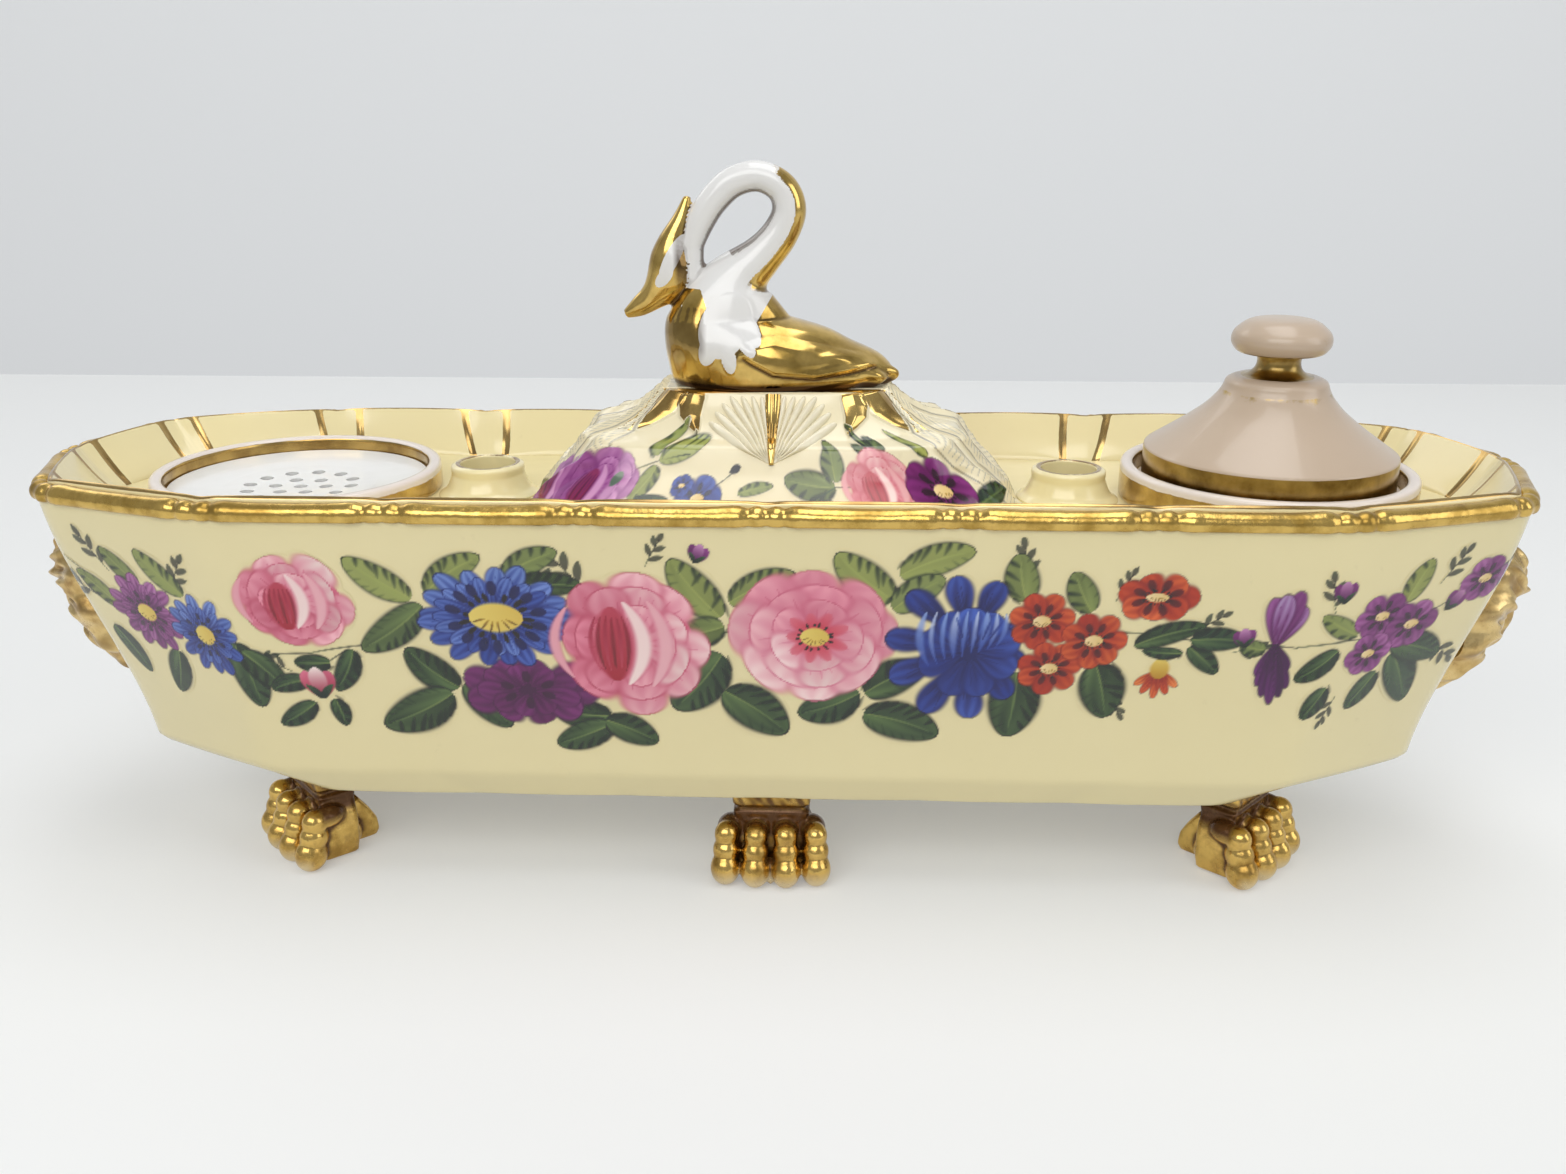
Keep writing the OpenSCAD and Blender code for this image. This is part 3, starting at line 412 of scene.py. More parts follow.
def paint_stem(sheet, points, width=0.5, colour=LEAF_MID):
    for a, b in zip(points, points[1:]):
        sheet.stroke(*a, heading(a, b), math.dist(a, b) * 1.05, width, colour, LEAF_DARK,
                     blunt=0.2, bend=0.08, soft=0.6, cover=0.85)


def paint_sprig(sheet, u, z, turn, size, chance):
    """A short stem with narrow single-stroke leaves in pairs, getting smaller outwards."""
    leaves = 4
    paint_stem(sheet, [(u, z), spot(u, z, size, turn)], 0.4)
    for k in range(leaves + 1):
        share = 0.25 + 0.7 * k / leaves
        way = 0 if k == leaves else (1 if k % 2 else -1) * (0.85 - 0.3 * share)
        sheet.stroke(*spot(u, z, size * share, turn), turn + way, size * (0.52 - 0.18 * share),
                     size * 0.24, tinted(LEAF_DARK, chance),
                     tinted(mixed(LEAF_DARK, LEAF_MID, 0.5), chance), belly=0.5, bend=0.15,
                     soft=0.4, cover=0.9)


def paint_oval(sheet, u, z, r, squash, near, far, soft=0.2):
    """A flat ground under a flower or an eye."""
    sheet.stroke(u - r, z, 0, r * 2, r * 2 * squash, near, far, belly=0.5, soft=soft, blunt=0.5)


def paint_heart(sheet, u, z, r, chance, flat, core=YELLOW):
    """The eye: a broken dark ring of dots round a pale oval, hatched on its lower side."""
    for k in range(15):
        a = 2 * math.pi * k / 15 + chance.normal(0, 0.08)
        sheet.stroke(*spot(u, z, r * 0.95, a, flat), a, r * chance.uniform(0.25, 0.48), r * 0.24,
                     UMBER, UMBER, soft=0.5, blunt=0.4)
    paint_oval(sheet, u, z, r, flat, core, mixed(core, OCHRE, 0.3), 0.25)
    for k in range(6):
        a = math.radians(200 + 26 * k) + chance.normal(0, 0.06)
        sheet.stroke(*spot(u, z, r * 0.93, a, flat), a + math.pi, r * 0.55, r * 0.13, UMBER,
                     OCHRE, soft=0.7, cover=0.75)


def paint_petal(sheet, root, tip, wide, dark, low, high, chance, lines=3, streak=0.2):
    """One rounded petal: a dark edge below, the petal over it, and fine lines from its foot."""
    turn, long = heading(root, tip), math.dist(root, tip)
    sheet.stroke(*root, turn, long * 1.03, wide * 1.12, dark, mixed(dark, low, 0.5), belly=0.66,
                 soft=0.4, blunt=0.42, cover=0.8)
    sheet.stroke(*root, turn, long, wide, low, tinted(high, chance), belly=0.68, soft=0.35,
                 blunt=0.45, streak=streak)
    for k in range(lines):
        off = (k - (lines - 1) / 2) * 0.55 / max(lines - 1, 1) * wide / long
        sheet.stroke(*root, turn + off, long * chance.uniform(0.6, 0.85), max(wide * 0.07, 0.3),
                     mixed(dark, low, 0.3), low, cover=0.55, soft=0.8)


def paint_aster(sheet, u, z, r, dark, mid, pale, chance, petals, squash, heart):
    """Stubby petals in two layers, the inner one paler, round a large pale eye."""
    paint_oval(sheet, u, z, r * 0.7, squash, mixed(dark, mid, 0.3), dark)
    for layer, (start, reach, wide) in enumerate(((0.18, 1.0, 1.1), (0.12, 0.76, 1.0))):
        for k in range(petals):
            turn = 2 * math.pi * (k + 0.5 * layer) / petals + chance.normal(0, 0.06)
            far = r * reach * chance.uniform(0.92, 1.05)
            lit = 0.5 + 0.5 * math.sin(turn) if layer == 0 else chance.random()
            paint_petal(sheet, spot(u, z, r * start, turn, squash), spot(u, z, far, turn, squash),
                        math.tau * 0.72 * r * reach * wide / petals, dark,
                        mixed(dark, mid, 0.35 + 0.3 * lit), mixed(mid, pale, 0.1 + 0.5 * lit),
                        chance, 3, 0.3)
    for k in range(petals - 3):
        turn = 2 * math.pi * (k + chance.uniform(0.3, 0.7)) / (petals - 3)
        far = r * (max(heart, 0.12) + 0.10)
        sheet.stroke(*spot(u, z, far, turn, squash), turn, r * 0.20, r * 0.15,
                     mixed(dark, UMBER, 0.2), dark, soft=0.4, blunt=0.4, cover=0.85)
    if heart:
        paint_heart(sheet, u, z, r * heart, chance, squash)


def paint_rose(sheet, u, z, r, dark, mid, pale, chance, petals=8, open_heart=False,
               squash=0.92, light=math.radians(20)):
    """A soft cup: large rounded petals from the outside in, white where they turn to the light,
    with the deep heart seen from the other side."""
    paint_oval(sheet, u, z, r * 0.85, squash, mixed(dark, mid, 0.7), mid)
    for layer, (start, reach, wide, count) in enumerate((
            (0.30, 1.0, 0.80, petals), (0.16, 0.80, 0.74, petals - 1),
            (0.06, 0.56, 0.58, petals - 3))):
        for k in range(count):
            turn = 2 * math.pi * (k + 0.5 * layer) / count + chance.normal(0, 0.1)
            lit = 0.5 + 0.5 * math.cos(turn - light)
            far = r * reach * chance.uniform(0.93, 1.05)
            paint_petal(sheet, spot(u, z, r * start, turn, squash), spot(u, z, far, turn, squash),
                        r * wide * chance.uniform(0.85, 1.15), mixed(dark, mid, 0.6),
                        mixed(mixed(dark, mid, 0.55), mid, lit),
                        mixed(mid, pale, 0.15 + 0.85 * lit * chance.uniform(0.5, 1)), chance, 3,
                        0.12)
    if open_heart:
        scarlet = (0.80, 0.20, 0.26)
        for k in range(9):
            sheet.stroke(u, z, math.radians(20 + 40 * k), r * chance.uniform(0.3, 0.42), r * 0.22,
                         scarlet, mixed(scarlet, mid, 0.7), soft=0.7, blunt=0.4, cover=0.8)
        paint_heart(sheet, u, z, r * 0.17, chance, squash)
        return
    eye = (u - 0.26 * r * math.cos(light), z - 0.16 * r * math.sin(light))
    crimson = mixed(dark, (0.80, 0.26, 0.30), 0.45)
    sheet.stroke(eye[0], eye[1] - r * 0.50 * squash, math.pi / 2, r * squash, r * 0.74, crimson,
                 mixed(crimson, mid, 0.4), belly=0.5, soft=0.6, blunt=0.5)
    for k in range(7):
        bow = 0.5 - 0.16 * k
        sheet.stroke(eye[0] + r * (0.07 * k - 0.21), eye[1] - r * 0.36 * squash,
                     math.radians(90), r * 0.74 * squash, r * 0.09,
                     mixed(dark, UMBER, 0.35) if k % 2 else mixed(crimson, mid, 0.6), dark,
                     bend=bow, soft=0.7, cover=0.7)
    for out, long, wide, bow, white in ((0.17, 1.12, 0.34, -0.75, 1.0),
                                        (0.50, 1.15, 0.30, -0.65, 0.6),
                                        (-0.60, 0.95, 0.20, 0.75, 0.5)):
        foot = (eye[0] + r * out, z - r * long * 0.5 * squash)
        sheet.stroke(*foot, math.pi / 2, r * long * squash, r * wide * 1.2, mixed(dark, mid, 0.7),
                     mid, bend=bow, belly=0.5, soft=0.5, blunt=0.45, cover=0.6)
        sheet.stroke(*foot, math.pi / 2, r * long * squash, r * wide, mixed(mid, pale, white),
                     mixed(mid, pale, white * 0.9), bend=bow, belly=0.5, soft=0.7, blunt=0.45)


def paint_small(sheet, u, z, r, dark, mid, pale, chance, petals, squash=0.9):
    """A small open flower: rounded petals, a dark ring and a cream eye."""
    paint_oval(sheet, u, z, r * 0.7, squash, dark, mid, 0.3)
    for k in range(petals):
        turn = 2 * math.pi * k / petals + chance.uniform(0, 0.25)
        paint_petal(sheet, (u, z), spot(u, z, r, turn, squash), r * 5.6 / petals, dark,
                    mixed(dark, mid, 0.6),
                    mixed(mid, pale, chance.uniform(0.05, 0.5)), chance, 2)
    for k in range(petals + 1):
        turn = 2 * math.pi * (k + 0.5) / (petals + 1)
        sheet.stroke(*spot(u, z, r * 0.3, turn, squash), turn, r * 0.34, r * 0.26,
                     mixed(dark, UMBER, 0.5), dark, soft=0.5, blunt=0.4, cover=0.9)
    paint_heart(sheet, u, z, r * 0.27, chance, 0.85 * squash, mixed(YELLOW, PINK_PALE, 0.5))


def paint_bud(sheet, u, z, turn, size, dark, mid, pale, chance):
    for way in (-0.5, 0.5, 0):
        sheet.stroke(u, z, turn + way * 0.8, size * (1 - 0.1 * abs(way)), size * 0.6, dark,
                     tinted(mid if way else pale, chance), belly=0.6, soft=0.3, blunt=0.5)
    for way in (-0.7, 0.7):
        sheet.stroke(u, z, turn + way, size * 0.6, size * 0.26, LEAF_DARK, LEAF_MID, belly=0.4,
                     bend=-way * 0.3, soft=0.35)


def paint_fan(sheet, u, z, turn, size, dark, mid, pale, chance, petals, spread):
    """A flower seen from the side, its rounded petals in a fan, the middle one last."""
    for k in sorted(range(petals), key=lambda k: -abs(k - (petals - 1) / 2)):
        way = k - (petals - 1) / 2
        long = size * (1 - 0.05 * way * way) * chance.uniform(0.9, 1.08)
        paint_petal(sheet, (u, z), spot(u, z, long, turn + way * spread), size * 1.5 / petals,
                    dark, mixed(dark, mid, 0.6), mixed(mid, pale, chance.random()), chance, 3)


def paint_peony(sheet, u, z, r, chance):
    """A full flower: dark outer petals that hang open round a paler globe of folded ones."""
    for turn, out, long, wide in ((175, 0.75, 0.95, 0.62), (205, 0.8, 0.95, 0.66),
                                  (240, 0.75, 0.95, 0.70), (275, 0.7, 0.9, 0.66),
                                  (310, 0.65, 0.8, 0.6), (140, 0.75, 0.95, 0.60),
                                  (105, 0.62, 0.85, 0.62), (70, 0.62, 0.8, 0.60),
                                  (20, 0.6, 0.6, 0.5), (345, 0.6, 0.62, 0.5)):
        a = math.radians(turn)
        root = spot(u, z, r * out * 0.55, a, 0.7 / 0.55)
        paint_petal(sheet, root, spot(*root, r * long, a), r * wide * 0.86,
                    mixed(BLUE_DARK, UMBER, 0.2), BLUE_DARK,
                    tinted(mixed(BLUE_DARK, BLUE_MID, 0.9), chance, 0.05), chance, 4)
    paint_oval(sheet, u, z, r * 0.75, 1.0, BLUE_DARK, mixed(BLUE_DARK, BLUE_MID, 0.4))
    for k, turn in enumerate((250, 290, 200, 340, 160, 20, 120, 60, 90)):
        root = spot(u, z - r * 0.15, r * 0.12, math.radians(turn))
        paint_petal(sheet, root, spot(*root, r * 0.72, math.radians(turn)), r * 0.62, BLUE_DARK,
                    mixed(BLUE_DARK, BLUE_MID, 0.35), mixed(BLUE_DARK, BLUE_MID, 0.7 + 0.06 * k),
                    chance, 3)
    for k in range(9):
        off = -0.62 + 0.13 * k
        sheet.stroke(u + r * off, z - r * (0.42 - 0.05 * k), math.radians(96 - 2 * k),
                     r * (1.05 - 0.05 * k), r * (0.13 if k % 3 else 0.22),
                     BLUE_MID, (0.88, 0.91, 0.97) if k % 2 else BLUE_PALE,
                     bend=0.55 - 0.12 * k, belly=0.55, soft=0.8, cover=0.85)
    for k in range(5):
        sheet.stroke(u - r * 0.1 + r * 0.1 * k, z + r * 0.1, math.radians(110 - 12 * k), r * 0.45,
                     r * 0.07, BLUE_DARK, BLUE_MID, soft=0.7, cover=0.7)


def paint_garland(sheet, chance):
    """The whole spray, from a small end by one mask to the other."""
    blue, mauve = (BLUE_DARK, BLUE_MID, BLUE_PALE), (MAUVE_DARK, MAUVE_MID, MAUVE_PALE)
    pink, red = (PINK_DARK, PINK_MID, PINK_PALE), (RED_DARK, RED_MID, RED_PALE)
    paint_stem(sheet, [(-137, 69), (-127, 61), (-112, 55), (-100, 52), (-88, 53), (-76, 55)], 0.55)
    paint_stem(sheet, [(-76, 55), (-64, 60), (-50, 57), (-20, 58), (30, 58), (60, 60), (80, 58),
                       (97, 57), (113, 58), (125, 63), (136, 69)], 0.55)
    paint_stem(sheet, [(-88, 46), (-86, 50), (-80, 54)], 0.45)
    for u, z, turn, size in ((-126, 67, 118, 8), (-131, 60, 152, 9), (-112, 65, 60, 7),
                             (-101, 50, 20, 6), (-92, 49, 150, 6), (-33, 67, 130, 9),
                             (-22, 72, 62, 6), (-40, 64, 100, 8), (47, 70, 100, 7),
                             (63, 66, 66, 6), (78, 60, 35, 6), (86, 56, 10, 6),
                             (103, 64, 105, 7), (123, 68, 62, 7), (128, 55, -35, 8),
                             (133, 66, 30, 8), (109, 46, -110, 6), (64, 47, -55, 6)):
        paint_sprig(sheet, u, z, math.radians(turn), size, chance)
    for u, z, to_u, to_z, width, pale, bend, shadow in (
            (-120, 65, -126, 72, 4.4, 0.6, 0.1, 1), (-110, 64, -118, 72.5, 5, 0.7, 0.1, -1),
            (-128, 59, -135, 66, 4.6, 0.7, -0.1, 1), (-133, 54, -129, 44, 4.6, 0.05, 0.15, 1),
            (-117, 51, -122, 41, 5, 0.05, 0.1, 1), (-102, 55, -100, 41, 6.4, 0.05, 0.1, 1),
            (-101, 53, -94, 45, 5.4, 0.1, 0.1, -1), (-84, 51, -91, 51, 3.6, 0, 0.1, 1),
            (-79, 54, -84, 45, 4.2, 0, 0.2, 1), (-89, 47, -97, 45, 3.6, 0, -0.2, 1),
            (-89, 42, -97, 37, 3.8, 0, 0.1, 1), (-85, 43, -84, 37, 3.4, 0, 0.1, 1),
            (-65.8, 65, -77, 73, 6.2, 0.75, 0.12, -1), (-63, 66, -52, 74, 5.6, 0.7, 0.22, 1),
            (-64, 63.5, -77, 54, 6.6, 0.3, 0.15, 1), (-60, 46, -69, 54, 6.4, 0.08, 0.2, -1),
            (-61.5, 44.5, -76, 37, 7.4, 0.12, 0.15, 1), (-58.5, 47, -51, 37.5, 6.6, 0.08, 0.1, 1),
            (-48, 70, -38, 75, 5.2, 0.55, 0.15, 1), (-46, 68, -34, 68, 5, 0.2, 0.1, 1),
            (-31, 40, -42, 41, 5.6, 0.08, 0.15, -1), (-31, 38, -42, 33.5, 5.4, 0.1, 0.1, 1),
            (-32, 39, -22, 34.5, 5.6, 0.1, 0.1, 1), (-8.6, 62, -17.5, 73.5, 7.2, 0.7, 0.12, -1),
            (-7, 65, 5, 71, 6, 0.65, 0.15, 1), (-8, 60, -17, 58, 6.2, 0.5, 0.15, 1),
            (-8.6, 54, -18, 42, 8.4, 0.1, 0.15, 1), (-8.4, 46, 3.5, 37, 8, 0.12, 0.12, 1),
            (23, 66, 12.5, 75, 7.2, 0.75, 0.12, -1), (24, 71, 37, 76, 6.2, 0.75, 0.18, 1),
            (23, 64, 32, 70.5, 6, 0.6, 0.15, 1), (17.5, 46, 6, 41, 6.6, 0.06, 0.2, 1),
            (18.5, 46, 29.5, 52, 6.8, 0.1, 0.2, 1), (18.5, 41.5, 33, 37, 7.2, 0.1, 0.15, 1),
            (47, 66, 45, 75.5, 6.2, 0.6, 0.12, 1), (59, 64, 55, 72, 5.4, 0.55, 0.1, 1),
            (47, 51, 46.5, 37, 8.6, 0.08, 0.12, 1), (61.5, 53, 65, 41.5, 7.6, 0.1, 0.12, 1),
            (68, 57, 80, 61.5, 4, 0.1, 0.15, 1), (78, 57, 84, 51.5, 3.6, 0.05, 0.1, 1),
            (78, 58.5, 88, 58.5, 4.4, 0, 0.1, 1), (106, 56, 99, 50, 4.4, 0.05, 0.15, 1),
            (109, 59, 101, 63.5, 4, 0.65, 0.1, 1), (106, 48, 102.5, 41.5, 4.2, 0.05, 0.1, 1),
            (117, 65, 119.5, 73.5, 4.8, 0.8, 0.1, 1), (119, 54, 128, 42, 6.4, 0, 0.1, 1),
            (118, 56, 131, 52, 5.6, 0.05, 0.15, 1), (117, 50, 112.5, 42.5, 4.6, 0.05, 0.1, 1)):
        paint_leaf_to(sheet, (u, z), (to_u, to_z), width, chance, pale, bend, shadow)
    paint_aster(sheet, -121, 58.8, 8.4, *mauve, chance, 12, 1.0, 0.26)
    paint_aster(sheet, -108, 55.8, 7.6, *blue, chance, 12, 1.15, 0.28)
    paint_rose(sheet, -88, 64.2, 11.0, *pink, chance, 7, squash=0.92, light=math.radians(40))
    paint_bud(sheet, -87.3, 43, math.radians(92), 7.0, *pink, chance)
    paint_aster(sheet, -46.5, 45.6, 13.2, MAUVE_DARK, (0.44, 0.14, 0.40), MAUVE_MID, chance, 9,
                0.56, heart=0)
    paint_aster(sheet, -50.5, 61.3, 15.4, *blue, chance, 17, 0.70, 0.33)
    paint_rose(sheet, -25.4, 56.0, 13.8, *pink, chance, 8, squash=1.16, light=math.radians(5))
    paint_rose(sheet, 8.8, 58.0, 15.8, (0.70, 0.24, 0.38), (0.90, 0.56, 0.64), PINK_PALE, chance,
               8, open_heart=True, squash=0.84, light=math.radians(-95))
    paint_peony(sheet, 37.6, 56.6, 11.4, chance)
    for u, z, r, squash in ((50.3, 62, 6.0, 1.0), (52.9, 52, 6.0, 0.95), (60.3, 58, 6.2, 0.95),
                            (70.5, 67, 7.4, 0.62)):
        paint_small(sheet, u, z, r, *red, chance, 7, squash)
    paint_fan(sheet, 73.5, 52, math.radians(-92), 6.4, *red, chance, 5, 0.42)
    sheet.stroke(73.5, 54.6, math.radians(-90), 4.6, 4.6, YELLOW, OCHRE, soft=0.4, blunt=0.5)
    paint_leaf(sheet, 77, 55.6, math.radians(178), 7.2, 3.0, chance, 0.0)
    paint_leaf(sheet, 92, 56.5, math.radians(168), 5.0, 4.0, chance, 0.5)
    paint_fan(sheet, 93.5, 57, math.radians(84), 11.4, MAUVE_DARK, MAUVE_MID,
              mixed(MAUVE_PALE, BLUE_PALE, 0.3), chance, 4, 0.2)
    paint_fan(sheet, 93.5, 58, math.radians(-82), 12.6, (0.24, 0.03, 0.24), (0.36, 0.10, 0.38),
              (0.48, 0.20, 0.50), chance, 7, 0.14)
    for u, z, r in ((113, 62.5, 5.4), (120.3, 60, 5.6), (113, 54.5, 5.0), (133, 68, 5.2)):
        paint_small(sheet, u, z, r, *mauve, chance, 6)
    for u, z, turn, size in ((104, 66, 95, 4.6), (127, 62, 60, 4.6), (88, 57, 100, 4.2),
                             (140, 62, 20, 4.6), (-13, 73, 70, 4.0)):
        paint_bud(sheet, u, z, math.radians(turn), size, *mauve, chance)


enamel_glaze = glaze("enamel_glaze", CREAM, CREAM_SHADE, enamel=True)
PAINT_STEP = 0.27
PAINT_PROUD = 0.07
SHEEN = 0.13  # the clear glaze lifts dark enamel by about this much, so it is laid on darker


def linear_light(colour):
    """Colours as they look on a screen, turned into the linear ones that a material takes."""
    return np.where(colour < 0.04045, colour / 12.92, ((colour + 0.055) / 1.055) ** 2.4)


def laid_down(name, sheet, surface, material, body):
    """The painted part of a sheet as a thin skin, on surface(u, z) in millimetres."""
    painted = sheet.layers[..., 3] > 0.02
    keep = painted[:-1, :-1] | painted[1:, :-1] | painted[:-1, 1:] | painted[1:, 1:]
    rows, cols = np.nonzero(keep)
    wide = len(sheet.u)
    corner = rows * wide + cols
    quads = np.stack([corner, corner + 1, corner + wide + 1, corner + wide], axis=1)
    used, renumbered = np.unique(quads, return_inverse=True)
    row, col = np.divmod(used, wide)
    points = surface(sheet.u[col], sheet.z[row])
    skin = piece(name, (points, renumbered.reshape(-1, 4).tolist()), material, body,
                 crease=80)
    layers = sheet.layers[row, col]
    cover = layers[:, 3:]
    colour = np.clip(layers[:, :3] / np.maximum(cover, 1e-4), 0, 1)
    colour = linear_light(np.clip(colour * (1 + SHEEN) - SHEEN, 0, 1))
    enamel = skin.data.color_attributes.new("enamel", "FLOAT_COLOR", "POINT")
    enamel.data.foreach_set("color", np.hstack([colour, cover]).ravel().astype(np.float32))


middle_line = grown(rim_line + (foot_line - rim_line) * 0.5, WALL_PROUD)
middle_step = np.linalg.norm(np.roll(middle_line, -1, axis=0) - middle_line, axis=1)
middle_reach = np.concatenate([[0], np.cumsum(middle_step)])


def on_wall(u, z, half_turn):
    """Points just proud of the wall, u round from the middle of the front or of the back."""
    around = middle_reach[-1]
    place = np.interp(np.mod(u + (around / 2 if half_turn else 0), around), middle_reach,
                      np.arange(len(middle_reach)))
    i, share = place.astype(int) % len(rim_line), (place % 1)[:, None]
    rim = grown(rim_line, WALL_PROUD + PAINT_PROUD)
    foot = grown(foot_line, WALL_PROUD + PAINT_PROUD)
    left = lean((z - BEVEL_Z) / (WALL_TOP_Z - BEVEL_Z))[:, None]
    here, ahead = (ring[i] * (1 - left) + other[i] * left for ring, other in (
        (rim, foot), (np.roll(rim, -1, axis=0), np.roll(foot, -1, axis=0))))
    return np.column_stack([here + (ahead - here) * share, z])


for side_name, half_turn, seed in (("front", False, 7), ("back", True, 19)):
    garland_sheet = PaintedSheet(-152, 152, 31, 79, PAINT_STEP)
    paint_garland(garland_sheet, np.random.default_rng(seed))
    laid_down("garland_" + side_name, garland_sheet,
              lambda u, z, half_turn=half_turn: on_wall(u, z, half_turn),
              enamel_glaze, "stand")

# --------------------------------------------------------------
# Rim moulding: a solid half-round bead run along the top of the wall and gilded. At every corner
# it is nipped in like a joint of bamboo, with two round beads between narrow necks.
RIM_Z, SEAT = 81.45, 1.25
RIM_R = 2.05


def along_rim(ring, place):
    """Points of a ring at places counted in corners, as a closed line."""
    place = np.asarray(place) * PER_PANEL % len(ring)
    i, share = place.astype(int) % len(ring), (place % 1)[:, None]
    return ring[i] * (1 - share) + np.roll(ring, -1, axis=0)[i] * share


def bamboo_radius(distance):
    """Radius of the moulding at a distance in millimetres from the middle of a joint."""
    stops = (0, 0.35, 0.8, 1.5, 2.3, 2.8, 3.2, 3.6, 4.1, 4.8, 6.0, 8.0, 11.0, 30)
    radii = (1.75, 1.78, 1.98, 2.16, 2.12, 1.92, 1.78, 1.8, 2.0, 2.24, 2.33, 2.2, RIM_R, RIM_R)
    return np.interp(distance, stops, radii)


def joint_places(near_step, near_reach, far_count):
    """Places round the tray that crowd about the corners, with each one's distance from its own."""
    places, distances = [], []
    for k in range(len(rim_knots)):
        length = np.linalg.norm(rim_knots[(k + 1) % len(rim_knots)] - rim_knots[k])
        half = np.concatenate([np.arange(0, near_reach, near_step),
                               np.linspace(near_reach, length / 2, far_count)])
        for d in np.concatenate([half, length - half[-2:0:-1]]):
            places.append(k + d / length)
            distances.append(min(d, length - d))
    return np.array(places), np.array(distances)


def vectors(items, what):
    """Three numbers of each item of a mesh, as an array."""
    values = np.empty(len(items) * 3)
    items.foreach_get(what, values)
    return values.reshape(-1, 3)


def neighbour_mean(mesh):
    """A function that gives each point of a mesh the mean of its neighbours' values."""
    ends = np.empty(len(mesh.edges) * 2, dtype=np.int64)
    mesh.edges.foreach_get("vertices", ends)
    a, b = ends[0::2], ends[1::2]
    degree = np.maximum(np.bincount(ends, minlength=len(mesh.vertices)), 1)

    def mean(values):
        total = np.zeros_like(values)
        np.add.at(total, a, values[b])
        np.add.at(total, b, values[a])
        return (total.T / degree).T

    return mean


def keep_layer(thing, name, amount):
    layer = thing.data.attributes.new(name, "FLOAT", "POINT")
    layer.data.foreach_set("value", np.asarray(amount, dtype=np.float32).ravel())


def hollows(thing, spread, gain, share=1.0, marks_and_shade=0.0):
    """Keep on the mesh how deep each point lies in a hollow, 0 to 1, as painted shade, or the brown
    marks and painted shade given for it.
    """
    mean, points = neighbour_mean(thing.data), vectors(thing.data.vertices, "co")
    smooth = points
    for _ in range(spread):
        smooth = mean(smooth)
    depth = np.einsum("ij,ij->i", smooth - points, vectors(thing.data.vertex_normals, "vector"))
    depth = depth / max(np.percentile(np.abs(depth), 90), 1e-9) * gain
    for _ in range(2):
        depth = (depth + mean(depth)) / 2
    keep_layer(thing, "hollow", np.maximum(np.clip(depth, 0, 1) * share, marks_and_shade))


def marked(nodes, layer):
    """How much a layer that is kept on the mesh says."""
    node = nodes.new("ShaderNodeAttribute")
    node.attribute_name = layer
    return node.outputs["Fac"]


def gilding(name, bright=(0.68, 0.46, 0.13), dull=(0.40, 0.25, 0.055), wear=0.35, roughness=0.26):
    """Burnished gold over porcelain, uneven in tone and rubbed in places; shade is painted brown in
    its hollows.
    """
    material, nodes, links, surface = blank_material(name)
    patches = clouds(nodes, links, 160, 5, 0.6)
    gold = ramp(nodes, links, patches, [(0.36, dull), (0.58, bright)])
    # The 'hollow' layer holds painted shade in the hollows and folds, and on some pieces brown marks;
    # it darkens the gold to brown and takes away some of its metal.
    hollow = marked(nodes, "hollow")
    tone = mix(nodes, links, hollow, gold, (0.11, 0.045, 0.012))
    rubbed = ramp(nodes, links, clouds(nodes, links, 340, 6, 0.7),
                  [(0.60 - 0.1 * wear, (0, 0, 0)), (0.72, (wear,) * 3)])
    tone = mix(nodes, links, rubbed, tone, (0.34, 0.20, 0.08))
    links.new(tone, surface.inputs["Base Color"])
    metal = ramp(nodes, links, hollow, [(0.25, (1, 1, 1)), (0.9, (0.45,) * 3)])
    links.new(metal, surface.inputs["Metallic"])
    gloss = ramp(nodes, links, patches,
                 [(0.30, (roughness + 0.14,) * 3), (0.66, (roughness - 0.05,) * 3)])
    links.new(gloss, surface.inputs["Roughness"])
    ripple(nodes, links, clouds(nodes, links, 260, 3), 0.00022, surface)
    return material


places, distances = joint_places(0.32, 9.5, 7)
middle = along_rim(rim_line, places)
out = along_rim(grown(rim_line, 1.0), places) - middle
out /= np.linalg.norm(out, axis=1)[:, None]
radius, flat = bamboo_radius(distances), np.ones(len(places))
half_round = [(-SEAT, -SEAT, flat)]
half_round += [(math.cos(a), math.sin(a), radius) for a in np.linspace(-0.72, math.pi / 2 + 0.62, 18)]
half_round += [(-SEAT, SEAT * 0.6, flat), half_round[0]]
moulding = [np.column_stack([middle + out * (across * r)[:, None],
                             RIM_Z + np.maximum(up * r, -SEAT)]) for across, up, r in half_round]
rim = piece("rim_moulding_gilt", loft(moulding, caps=False),
            gilding("rim_gold", wear=0.2, roughness=0.22), "stand", ["rim_moulding"],
            crease=60)
# Painted shade: dark brown in the moulding's hollows, at the necks of its joints.
hollows(rim, 2, 0.8)

